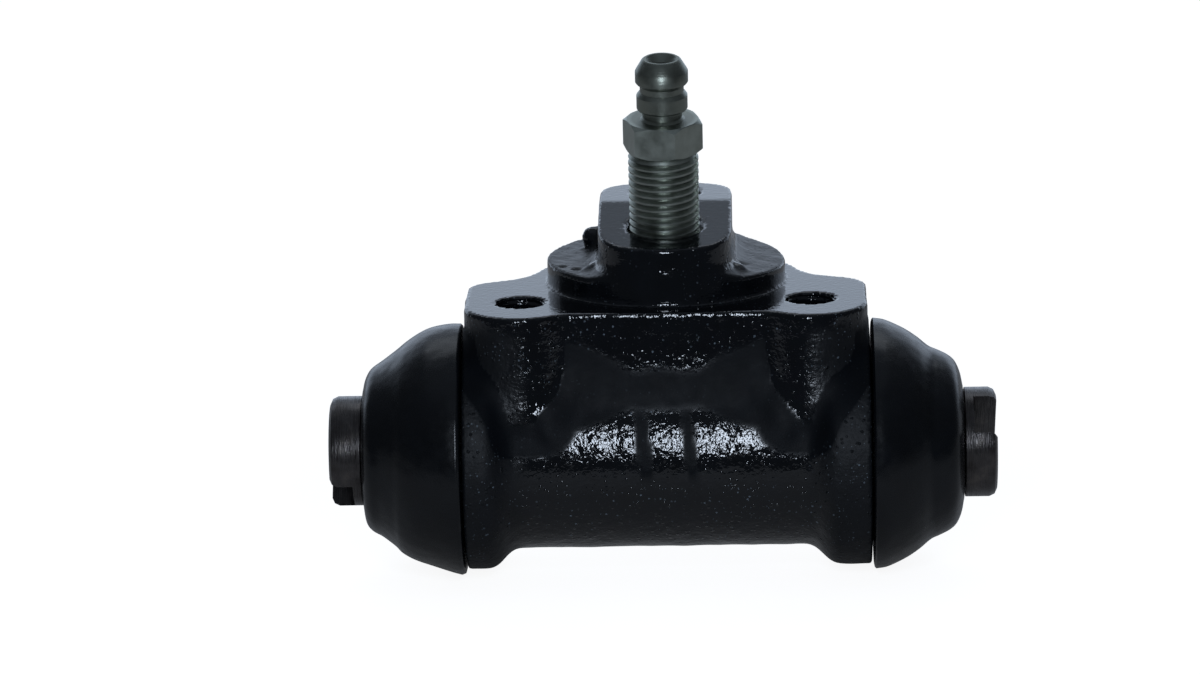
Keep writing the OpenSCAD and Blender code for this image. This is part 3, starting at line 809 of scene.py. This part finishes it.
def helix_rows(turn, low, high, pitch):
    """Heights and groove depths, 0 at the crest and 1 in the root, of the column at a turn from 0 to 1."""
    rows = np.arange(int((math.ceil((high - low) / pitch) + 1) * THREAD_ROWS) + 1) / THREAD_ROWS
    height = np.clip(low + (rows - 1 + turn) * pitch, low, high)
    wave = 1 - np.abs(2 * (rows % 1) - 1)
    return height, np.clip((wave - 0.3) / 0.55, 0, 1)


def thread_liner(name, centre, top, depth, minor, major, pitch):
    columns = []
    for turn in np.arange(HOLE_COLUMNS + 1) / HOLE_COLUMNS:
        height, groove = helix_rows(turn, top - depth, top - LINER_DOWN, pitch)
        radius = minor + (major - minor) * groove
        height = np.concatenate([height[:1], height, height[-1:], height[:1]])
        back = [major + LINER_WALL]
        radius = np.concatenate([back, radius, back, back])
        angle = 2 * math.pi * turn
        columns.append(np.stack([centre[0] + radius * math.cos(angle), centre[1] + radius * math.sin(angle),
                                 height], axis=1))
    liner = new_piece(name, *columns_mesh(np.array(columns)), BLACK_PAINT)
    weld(liner)
    shade(liner)
    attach(liner, "cylinder")
    measure(liner)


for name, side in (("left", -1), ("right", 1)):
    thread_liner(f"bolt_thread_{name}", (side * BOLT_X, BOLT_Y), 0.0, BOLT_DEPTH,
                 BOLT_MINOR, BOLT_MAJOR, BOLT_PITCH)
thread_liner("pipe_port_thread", (0, PORT_Y), BOSS_H, PORT_DEPTH, PORT_MINOR, PORT_MAJOR, PORT_PITCH)

# %% [markdown]
# ## Plated steel of the bleed screw
#
# The bleed screw is turned from steel and plated with zinc that has gone a dull olive grey. Metal has no
# colour under its surface, so the colour goes on a metallic shader. Fine rings from the lathe come from a
# noise that is stretched across the axis. The colour is darker where the radius is small: in the roots of
# the thread and on the narrower shank and nipple.

# %% Mix the plated steel


def ring_marks(tree, place, across_mm, around_mm):
    """Noise that is fine along the piece's own Z axis and long across it."""
    stretch = add_node(tree, "ShaderNodeVectorMath", {"operation": "MULTIPLY"}, s0=place,
                       s1=(1 / around_mm, 1 / around_mm, 1 / across_mm))
    marks = add_node(tree, "ShaderNodeTexNoise", Vector=stretch.outputs[0], Scale=1 / MM, Detail=2.0)
    return marks.outputs["Fac"]


def plated_steel():
    material, tree, shader = new_finish("plated_steel")
    place = own_coordinates(tree)
    marks = ring_marks(tree, place, 0.12, 6)
    stains = spots(tree, place, 2.2, 4)
    # Darker where the radius is small: the roots of the thread, the shank and the nipple.
    outer_share = span(tree, axis_distance(tree, place), 4.25 * MM, 4.75 * MM, 0.35, 1)
    plate = colours(tree, stains, (0.25, (0.27, 0.295, 0.26)), (0.75, (0.44, 0.475, 0.43)))
    tree.links.new(mixed(tree, outer_share, (0.17, 0.18, 0.15, 1), plate), shader.inputs["Base Color"])
    shader.inputs["Metallic"].default_value = 1
    tree.links.new(span(tree, stains, 0.3, 0.7, 0.30, 0.46), shader.inputs["Roughness"])
    tree.links.new(relief(tree, marks, 0.03, 0.6), shader.inputs["Normal"])
    return material


PLATED_STEEL = plated_steel()
print("made", PLATED_STEEL.name)

# %% [markdown]
# ## The bleed screw's outline
#
# From the foot up it is a seat cone, a smooth shank, a fine thread, a hexagon for the spanner and a
# nipple with two ribs that grip a hose. A hole runs down its middle. The outline is a list of radii and
# heights. Only the hexagon's radius changes with the angle, and cone chamfers leave its edges curved.

# %% Draw the bleed screw's outline
HEX_TURN, HEX_AF, HEX_H = math.radians(12.4), 10.0, 4.7
SCREW_R, SCREW_ROOT, SCREW_PITCH = 4.97, 4.42, 1.0
THREAD_OUT, THREAD_IN = 11.3, 8.0
SHANK_R, SHANK_LEN, SEAT_R = 3.45, 3.0, 1.65
NECK_R, RIB_R, GROOVE_R, BARB_R, TIP_R, VENT_R = 2.8, 3.6, 3.1, 3.73, 2.6, 1.2
NECK_LEN, RIB_LEN, GROOVE_LEN, BARB_LEN, TIP_LEN = 1.5, 2.5, 1.4, 1.86, 1.64
VENT_SINK, RUN_OUT = 1.0, 0.9
HEX_CONE, HEX_SLOPE, HEX_SOFT = 1.01, math.radians(33), 0.08


def hex_radius(angle):
    sector = math.pi / 3
    return HEX_AF / 2 / math.cos((angle + HEX_TURN) % sector - sector / 2)


def hex_outline(angle):
    """The hexagon's bottom edge, side and top edge, with cone chamfers that leave curved edges."""
    radius = hex_radius(angle)
    cone = HEX_AF / 2 * HEX_CONE
    fall = max(radius - cone, 0) * math.tan(HEX_SLOPE)
    top = THREAD_OUT + HEX_H
    inner = min(radius - 0.06, cone)
    return [(SCREW_ROOT, THREAD_OUT), (inner, THREAD_OUT), (radius, THREAD_OUT + fall + HEX_SOFT),
            (radius, top - fall - HEX_SOFT), (inner, top)]


def nipple_outline():
    rib = THREAD_OUT + HEX_H + NECK_LEN
    groove = rib + RIB_LEN
    barb = groove + GROOVE_LEN
    cone = barb + BARB_LEN
    tip = cone + TIP_LEN
    soft = 0.18
    return [(NECK_R + 0.35, rib - NECK_LEN), (NECK_R, rib - NECK_LEN + 0.35), (NECK_R, rib - 0.3),
            (RIB_R - soft, rib - 0.05), (RIB_R, rib + soft), (RIB_R, groove - 0.45),
            (RIB_R - 0.25, groove - 0.1), (GROOVE_R, groove + 0.15), (GROOVE_R, barb - 0.45),
            (BARB_R - soft, barb - 0.05), (BARB_R, barb + soft), (BARB_R, cone - soft),
            (BARB_R - soft, cone + soft), (TIP_R + soft, tip - soft), (TIP_R - 0.1, tip),
            (VENT_R + VENT_SINK, tip), (VENT_R, tip - VENT_SINK), (VENT_R, -THREAD_IN), (0, -THREAD_IN)]


print("outline of the nipple:", len(nipple_outline()), "corners")

# %% [markdown]
# ## Turning the bleed screw
#
# The whole screw is one ring of columns: every column is the outline at its own angle, so the hexagon and
# the helix need no booleans at all. It is then leaned to the axis of the bleed hole.

# %% Turn the bleed screw
SCREW_COLUMNS = 96


def screw_column(turn):
    angle = 2 * math.pi * turn - HEX_TURN
    height, groove = helix_rows(turn, -THREAD_IN, THREAD_OUT, SCREW_PITCH)
    ends = np.clip(np.minimum(height + THREAD_IN, THREAD_OUT - height) / RUN_OUT, 0, 1)
    radius = SCREW_R - (SCREW_R - SCREW_ROOT) * np.maximum(groove, 1 - ends)
    shank = -THREAD_IN - SHANK_LEN
    seat = shank - SHANK_R + SEAT_R
    foot = [(0, seat), (SEAT_R, seat), (SHANK_R, shank), (SHANK_R, -THREAD_IN)]
    outline = np.array(foot + list(zip(radius, height)) + hex_outline(angle) + nipple_outline())
    return np.stack([outline[:, 0] * math.cos(angle), outline[:, 0] * math.sin(angle), outline[:, 1]], axis=1)


screw_points = np.array([screw_column(turn) for turn in np.arange(SCREW_COLUMNS + 1) / SCREW_COLUMNS])
screw = new_piece("bleed_screw", *columns_mesh(screw_points), PLATED_STEEL)
weld(screw)
shade(screw, math.radians(30))
lean = Vector((0, 0, 1)).rotation_difference(Vector(BLEED_AXIS)).to_matrix().to_4x4()
screw.matrix_world = Matrix.Translation(Vector(BLEED_POINT * MM)) @ lean
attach(screw, "bleeder")
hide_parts("bleeder_screw")
measure(screw)

# %% [markdown]
# ## Dark turned steel of the pistons
#
# The pistons are turned steel with a brown-black oxide skin. Where the light meets the turning marks it
# draws a bright bar along the nose. The bar comes from the shader: a metal with a low to middle roughness
# and fine rings around the bore's axis.

# %% Mix the oxide steel


def oxide_steel():
    material, tree, shader = new_finish("oxide_steel")
    place = own_coordinates(tree)
    marks = ring_marks(tree, place, 0.10, 5)
    stains = spots(tree, place, 2.6, 4, 0.6)
    skin_colour = colours(tree, stains, (0.25, (0.040, 0.035, 0.033)), (0.55, (0.075, 0.069, 0.068)),
                          (0.8, (0.13, 0.115, 0.105)))
    tree.links.new(skin_colour, shader.inputs["Base Color"])
    shader.inputs["Metallic"].default_value = 0.85
    tree.links.new(span(tree, marks, 0.3, 0.7, 0.22, 0.36), shader.inputs["Roughness"])
    tree.links.new(relief(tree, marks, 0.09, 1.0), shader.inputs["Normal"])
    return material


OXIDE_STEEL = oxide_steel()
print("made", OXIDE_STEEL.name)

# %% [markdown]
# ## A lathe and a slot cutter
#
# A lathe shape could come from the Screw modifier. Here a short function turns an outline, because both
# pistons share it. A boolean with a box cuts the slot, and the box is deleted afterwards.

# %% Define the lathe and the cutter
TURN_COLUMNS = 128


def turned(outline, columns=TURN_COLUMNS):
    """Points and faces of an outline of (radius, height) turned about Z."""
    angle = 2 * math.pi * np.arange(columns) / columns
    radius, height = np.array(outline, dtype=float).T
    ring = np.stack([np.outer(np.cos(angle), radius), np.outer(np.sin(angle), radius),
                     np.broadcast_to(height, (columns, len(height)))], axis=-1)
    return columns_mesh(ring)


def bore_place(side, reach_mm):
    """Turns a piece's own Z out along the bore at a side, and sets it at a distance from the middle."""
    out = Vector((side, 0, 0))
    across = Vector((0, 1, 0))
    turn = Matrix((across.cross(out), across, out)).transposed().to_4x4()
    return Matrix.Translation(Vector((side * reach_mm, AXIS_Y, AXIS_Z)) * MM) @ turn


def cut_with_box(piece, size_mm, place):
    bpy.ops.mesh.primitive_cube_add(size=1)
    cutter = bpy.context.object
    cutter.matrix_world = place @ Matrix.Diagonal((*(np.array(size_mm) * MM), 1))
    cut = piece.modifiers.new("slot", "BOOLEAN")
    cut.object = cutter
    bpy.context.view_layer.update()
    shape = bpy.data.meshes.new_from_object(piece.evaluated_get(bpy.context.evaluated_depsgraph_get()))
    piece.modifiers.clear()
    piece.data = shape
    bpy.data.objects.remove(cutter)


print("lathe ready with", TURN_COLUMNS, "columns")

# %% [markdown]
# ## The pistons
#
# A piston is a turned outline with a groove for the boot's lip, and a slot across its nose for the brake
# shoe. A small bevel breaks all the edges as a deburring tool does.

# %% Turn the pistons
NOSE_R, LIP_GROOVE_R, NOSE_CHAMFER = 7.8, 6.4, 1.1
LIP_T, LIP_GAP, NOSE_OUT, TAPER_LEN, NOSE_LAND = 2.0, 0.2, 4.7, 3.9, 0.7
SLOT_W, SLOT_DEPTH, FOOT_CHAMFER, NOSE_SOFT, BROKEN_EDGE = 6.0, 3.3, 0.4, 0.35, 0.15
PISTON_LEN = right_high[0] - right_low[0]


def piston(name, side, reach_mm, slot_turn, body_name):
    groove_out = PISTON_LEN - NOSE_OUT + LIP_GAP
    groove_in = PISTON_LEN - NOSE_OUT - LIP_T - LIP_GAP
    full = groove_in - NOSE_LAND - TAPER_LEN
    outline = [(0, 0), (PISTON_R - FOOT_CHAMFER, 0), (PISTON_R, FOOT_CHAMFER), (PISTON_R, full),
               (NOSE_R, full + TAPER_LEN), (NOSE_R, groove_in), (LIP_GROOVE_R, groove_in),
               (LIP_GROOVE_R, groove_out), (NOSE_R, groove_out), (NOSE_R, PISTON_LEN - NOSE_CHAMFER),
               (NOSE_R - NOSE_SOFT, PISTON_LEN - NOSE_SOFT), (NOSE_R - NOSE_CHAMFER, PISTON_LEN),
               (0, PISTON_LEN)]
    piece = new_piece(name, *turned(outline), OXIDE_STEEL)
    weld(piece)
    slot = Matrix.Translation((0, 0, PISTON_LEN * MM)) @ Matrix.Rotation(slot_turn, 4, "Z")
    cut_with_box(piece, (4 * NOSE_R, SLOT_W, 2 * SLOT_DEPTH), slot)
    edges = piece.modifiers.new("broken_edges", "BEVEL")
    edges.width = BROKEN_EDGE * MM
    edges.segments = 2
    edges.angle_limit = math.radians(40)
    shade(piece)
    piece.matrix_world = bore_place(side, reach_mm)
    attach(piece, body_name)
    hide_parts(name.replace("turned_", ""))
    measure(piece)


SLOT_LEFT, SLOT_RIGHT = math.radians(-49), math.radians(47)
piston("turned_piston_left", -1, -left_high[0], math.pi / 2 + SLOT_LEFT, "left_piston")
piston("turned_piston_right", 1, right_low[0], math.pi / 2 - SLOT_RIGHT, "right_piston")

# %% [markdown]
# ## Rubber of the boots
#
# The boots are moulded black rubber, softer in its shine than the paint, with a fine even grain and a
# faint bloom. A dielectric of low specular level does this. Coat or sheen would be wrong, since new
# rubber has neither.

# %% Mix the boot rubber


def boot_rubber():
    material, tree, shader = new_finish("boot_rubber")
    place = own_coordinates(tree)
    bloom = spots(tree, place, 5, 4)
    tint = colours(tree, bloom, (0.3, (0.0022, 0.0028, 0.004)), (0.75, (0.0044, 0.0055, 0.0075)))
    tree.links.new(tint, shader.inputs["Base Color"])
    tree.links.new(span(tree, spots(tree, place, 1.2), 0.3, 0.7, 0.22, 0.32), shader.inputs["Roughness"])
    shader.inputs["Specular IOR Level"].default_value = 0.34
    soft = relief(tree, spots(tree, place, 3.2, 1), 0.12)
    grain = relief(tree, spots(tree, place, 0.35, 3), 0.02, 0.6, soft)
    tree.links.new(grain, shader.inputs["Normal"])
    return material


BOOT_RUBBER = boot_rubber()
print("made", BOOT_RUBBER.name)

# %% [markdown]
# ## The boots' outlines
#
# A boot keeps dirt out of the bore. Its rim grips the spigot, its lip sits in the piston's groove, and
# the wall between them folds at a waist. The outline has few points, with a smooth curve through them,
# because a few points are easy to compare with a photograph.

# %% Draw the boots' outlines
RIGHT_BOOT = ((29.3, 17.85), (31.0, 17.55), (33.6, 16.35), (35.5, 15.1), (37.1, 13.8), (38.4, 13.2),
              (39.8, 12.5), (40.8, 11.6), (41.5, 10.1), (41.9, 8.2))
LEFT_TOP = ((29.3, 17.9), (31.0, 17.9), (33.3, 17.5), (35.0, 16.8), (36.9, 15.6), (38.6, 14.25),
            (40.5, 12.85), (42.1, 11.7), (42.9, 10.4), (43.3, 8.8))
LEFT_LOW = ((29.6, 17.9), (31.0, 17.5), (33.5, 16.65), (36.2, 15.7), (38.0, 14.7), (39.0, 13.7),
            (40.8, 12.3), (42.2, 11.5), (43.0, 10.5), (43.3, 8.8))
BOOT_WALL, LIP_R, SEAT_GAP = 1.6, 6.5, 0.06
CURVE_STEPS = 6


def through(points, steps=CURVE_STEPS):
    """A smooth curve through a few points, as a Catmull-Rom spline."""
    p = np.array(points, dtype=float)
    p = np.vstack([2 * p[0] - p[1], p, 2 * p[-1] - p[-2]])
    curve = []
    for a, b, c, d in zip(p, p[1:], p[2:], p[3:]):
        for t in np.arange(steps) / steps:
            curve.append(0.5 * (2 * b + (c - a) * t + (2 * a - 5 * b + 4 * c - d) * t * t
                                + (3 * b - a - 3 * c + d) * t ** 3))
    return np.array(curve + [p[-2]])


def boot_outline(points):
    """A closed outline of (distance, radius): rim, outer wall, lip, inner wall and seat."""
    outer = through(points)
    end = points[-1][0]
    inner = [(x - 0.5, r - BOOT_WALL) for x, r in outer[6 * CURVE_STEPS:3 * CURVE_STEPS - 1:-3]]
    seat = SPIGOT_R + SEAT_GAP
    rim_r = points[0][1]
    rim = [(COLLAR_X + 0.3, seat), (COLLAR_X + 0.3, rim_r - 0.6), (COLLAR_X + 0.4, rim_r - 0.2)]
    lip = [(end, LIP_R + 0.4), (end - 0.3, LIP_R), (end - LIP_T + 0.3, LIP_R), (end - LIP_T, LIP_R + 0.4),
           (end - LIP_T, inner[0][1] - 0.6)]
    grip = [(SPIGOT_X + 0.3, seat + 0.3), (SPIGOT_X - 0.4, seat)]
    return np.array(rim + outer.tolist() + lip + inner + grip)


print("outline of the right boot:", len(boot_outline(RIGHT_BOOT)), "points")

# %% [markdown]
# ## The boots
#
# The left boot is not quite round any more: it sags, so its outline changes from top to bottom.

# %% Mould the boots
BOOT_COLUMNS = 120


def boot(name, side, top, low):
    upper, lower = boot_outline(top), boot_outline(low)
    columns = []
    for angle in 2 * math.pi * np.arange(BOOT_COLUMNS) / BOOT_COLUMNS:
        share = (1 + math.sin(angle)) / 2
        x, radius = (share * upper + (1 - share) * lower).T
        y, z = AXIS_Y + radius * math.cos(angle), AXIS_Z + radius * math.sin(angle)
        columns.append(np.stack([side * x, y, z], axis=1))
    ring = np.array(columns)
    ring = np.concatenate([ring, ring[:, :1]], axis=1)
    piece = new_piece(name, *columns_mesh(ring), BOOT_RUBBER)
    weld(piece)
    shade(piece, math.radians(50))
    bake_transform(piece)
    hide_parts(name.replace("rubber_", ""))
    measure(piece)


boot("rubber_boot_left", -1, LEFT_TOP, LEFT_LOW)
boot("rubber_boot_right", 1, RIGHT_BOOT, RIGHT_BOOT)

# %% [markdown]
# ## Cups and expanders
#
# Inside the bore each piston has a rubber cup that seals it, and a pressed seat that a light spring
# pushes against. They are out of sight, so the CAD solids stay and only get their finishes: rubber wet
# with brake fluid, and bright steel that the spring shares.

# %% Finish the inner pieces


def wet_rubber():
    material, tree, shader = new_finish("wet_rubber")
    place = own_coordinates(tree)
    tint = colours(tree, spots(tree, place, 3), (0.3, (0.010, 0.010, 0.010)), (0.8, (0.020, 0.019, 0.018)))
    tree.links.new(tint, shader.inputs["Base Color"])
    tree.links.new(span(tree, spots(tree, place, 1), 0.3, 0.7, 0.18, 0.32), shader.inputs["Roughness"])
    return material


def spring_wire():
    material, tree, shader = new_finish("spring_wire")
    place = own_coordinates(tree)
    tint = colours(tree, spots(tree, place, 1.5), (0.3, (0.38, 0.37, 0.35)), (0.8, (0.55, 0.54, 0.52)))
    tree.links.new(tint, shader.inputs["Base Color"])
    shader.inputs["Metallic"].default_value = 1
    tree.links.new(span(tree, spots(tree, place, 0.6), 0.3, 0.7, 0.25, 0.4), shader.inputs["Roughness"])
    return material


WET_RUBBER, SPRING_WIRE = wet_rubber(), spring_wire()
for side in ("left", "right"):
    frame["nodes"][f"cup_{side}"].material_slots[0].material = WET_RUBBER
    frame["nodes"][f"expander_{side}"].material_slots[0].material = SPRING_WIRE
print("finished cups and expanders")

# %% [markdown]
# ## The spring
#
# The spring keeps both cups against their pistons. A curve with a bevel could draw the wire. A ring of
# columns along the helix does it too, with the function that already made the screw. The spring is made
# as two halves that meet in the middle.

# %% Wind the spring
SPRING_R, WIRE_R, SPRING_TURNS, WIRE_SIDES, TURN_STEPS = 4.2, 0.5, 8, 10, 24
spring_low, spring_high = box_mm("return_spring")
SPRING_LEFT, SPRING_RIGHT = spring_low[0] + WIRE_R, spring_high[0] - WIRE_R
CLOSE_PITCH, SEAT_IN = 1.05, 2.0


def spring_place(turn):
    """Distance along the bore after a number of turns; the end turns lie close."""
    open_pitch = (SPRING_RIGHT - SPRING_LEFT - 2 * CLOSE_PITCH) / (SPRING_TURNS - 2)
    first = CLOSE_PITCH * np.minimum(turn, 1)
    last = CLOSE_PITCH * np.maximum(turn - SPRING_TURNS + 1, 0)
    return SPRING_LEFT + first + open_pitch * np.clip(turn - 1, 0, SPRING_TURNS - 2) + last


def spring_half(name, from_turn, to_turn):
    turn = np.linspace(from_turn, to_turn, int((to_turn - from_turn) * TURN_STEPS) + 1)
    ring = 2 * math.pi * np.arange(WIRE_SIDES) / WIRE_SIDES
    angle = 2 * math.pi * turn[None, :]
    radius = SPRING_R + WIRE_R * np.cos(ring)[:, None]
    x = spring_place(turn)[None, :] + WIRE_R * np.sin(ring)[:, None]
    y, z = AXIS_Y + radius * np.sin(angle), AXIS_Z - radius * np.cos(angle)
    points, faces = columns_mesh(np.stack(np.broadcast_arrays(x, y, z), axis=-1))
    rows = len(turn)
    ends = [[k * rows for k in range(WIRE_SIDES)], [k * rows + rows - 1 for k in range(WIRE_SIDES)][::-1]]
    piece = new_piece(name, points, faces, SPRING_WIRE)
    shape = bmesh.new()
    shape.from_mesh(piece.data)
    shape.verts.ensure_lookup_table()
    for end in ends:
        shape.faces.new([shape.verts[k] for k in end])
    bmesh.ops.recalc_face_normals(shape, faces=shape.faces)
    shape.to_mesh(piece.data)
    shape.free()
    shade(piece)
    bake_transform(piece)
    measure(piece)
    return piece


middle_turn = SPRING_TURNS / 2
left_half = spring_half("spring_half_left", 0, middle_turn)
spring_half("spring_half_right", middle_turn, SPRING_TURNS)
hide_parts("return_spring")

# %% [markdown]
# ## The floor
#
# The photograph has a white ground. A sheet could be lit until it is white, but so much light would wash
# out the black paint. So the sheet is a middle grey that glows for the camera, and it still takes the
# object's shadow. It ends not far in front of the object, because the lower half of the barrel would
# mirror it.

# %% Lay the floor
FLOOR_GAP = 0.0002
FLOOR_Z = cad_box[0][2] - FLOOR_GAP
FLOOR_FRONT, FLOOR_BACK, FLOOR_SIDE = -0.10, 0.9, 0.9
FLOOR_GLOW, FLOOR_MIRROR = 0.90, 0.10


def white_share(tree, camera_share, mirror_share):
    """How much of the white ground a ray sees, from the camera or from a mirror or glass."""
    path = add_node(tree, "ShaderNodeLightPath").outputs
    mirrors = maths(tree, "MAXIMUM", path["Is Glossy Ray"], path["Is Transmission Ray"])
    camera_part = times(tree, path["Is Camera Ray"], camera_share)
    return maths(tree, "MULTIPLY_ADD", mirrors, mirror_share, camera_part)


def paper_white():
    material, tree, shader = new_finish("paper_white")
    place = own_coordinates(tree)
    tint = colours(tree, spots(tree, place, 30), (0.3, (0.46, 0.46, 0.47)), (0.8, (0.49, 0.49, 0.49)))
    tree.links.new(tint, shader.inputs["Base Color"])
    shader.inputs["Roughness"].default_value = 0.9
    shader.inputs["Specular IOR Level"].default_value = 0.0
    shader.inputs["Emission Color"].default_value = (1, 1, 1, 1)
    tree.links.new(white_share(tree, FLOOR_GLOW, FLOOR_MIRROR), shader.inputs["Emission Strength"])
    return material


corners = [(-FLOOR_SIDE, FLOOR_FRONT), (FLOOR_SIDE, FLOOR_FRONT),
           (FLOOR_SIDE, FLOOR_BACK), (-FLOOR_SIDE, FLOOR_BACK)]
floor_points = [(x / MM, y / MM, FLOOR_Z / MM) for x, y in corners]
floor = new_piece("floor", floor_points, [(0, 1, 2, 3)], paper_white())
print(f"floor at z {FLOOR_Z / MM:.2f} mm")

# %% [markdown]
# ## The room
#
# Black paint shows mostly what it mirrors, so the room matters as much as the lamps. A picture of a
# studio could surround the part, but a few greys by height do it and need no file. Behind the object is a
# bright wall that ends some way up, and in front the room is dark. The camera sees plain white instead.
# Mirrors get only a small share of that white, because a white room all around would turn the paint grey.

# %% Paint the room
ROOM_MIRROR = 0.02
ROOM_TINT = (0.70, 0.82, 1.0)
scene = bpy.context.scene
world = bpy.data.worlds.new("photo_room")
scene.world = world
world.use_nodes = True
room = world.node_tree
room.nodes.clear()


def greys(height, *stops):
    """Brightness of the room from the floor, at -1, to straight above, at 1."""
    tinted = [((place + 1) / 2, [level * part for part in ROOM_TINT]) for place, level in stops]
    return colours(room, span(room, height, -1, 1, 0, 1), *tinted)


ray = add_node(room, "ShaderNodeTexCoord").outputs["Generated"]
way = add_node(room, "ShaderNodeSeparateXYZ", Vector=ray)
front = greys(way.outputs["Z"], (0, 0.045), (0.3, 0.05), (0.74, 0.09), (0.92, 0.22))
rear = greys(way.outputs["Z"], (-0.1, 0.3), (0, 1.15), (0.34, 1.15), (0.40, 0.45), (0.62, 0.45),
             (0.74, 0.15), (0.92, 0.22))
behind = span(room, way.outputs["Y"], 0.5, 0.8, 0, 1)
dark = add_node(room, "ShaderNodeBackground", Color=mixed(room, behind, front, rear), Strength=1.0)
white = add_node(room, "ShaderNodeBackground", Color=(1, 1, 1, 1), Strength=1.0)
seen = white_share(room, 1.0, ROOM_MIRROR)
ground = add_node(room, "ShaderNodeMixShader", s0=seen, s1=dark.outputs[0], s2=white.outputs[0])
add_node(room, "ShaderNodeOutputWorld", Surface=ground.outputs[0])
scene.view_settings.view_transform = "Standard"
print("room painted, view transform", scene.view_settings.view_transform)

# %% [markdown]
# ## The lamps
#
# On a glossy surface a highlight has the shape of its lamp. A small soft box close in front draws the
# bright patch on the barrel, and a large one above and behind lights the top faces. Their strength is
# given as what a mirror would show of them, because that is what can be compared with a photograph.

# %% Hang the lamps


def soft_box(name, azimuth, elevation, distance, width, height, brightness, colour):
    """A rectangular lamp that faces the object; brightness is what a mirror would show of it."""
    lamp = bpy.data.objects.new(name, bpy.data.lights.new(name, "AREA"))
    bpy.context.collection.objects.link(lamp)
    lamp.data.shape = "RECTANGLE"
    lamp.data.size, lamp.data.size_y = width, height
    lamp.data.energy = brightness * math.pi * width * height
    lamp.data.color = colour
    a, e = math.radians(azimuth), math.radians(elevation)
    way = Vector((math.sin(a) * math.cos(e), -math.cos(a) * math.cos(e), math.sin(e)))
    centre = Vector((0, AXIS_Y, AXIS_Z)) * MM
    facing = way.to_track_quat("Z", "Y").to_matrix().to_4x4()
    lamp.matrix_world = Matrix.Translation(centre + way * distance) @ facing
    lamp.visible_camera = False
    print(f"{name}: {lamp.data.energy:.2f} W")


soft_box("front_soft_box", 0, 20, 0.22, 0.024, 0.09, 24.0, (0.76, 0.86, 1.0))
soft_box("top_soft_box", 180, 54, 0.9, 0.9, 0.36, 1.0, (0.82, 0.90, 1.0))
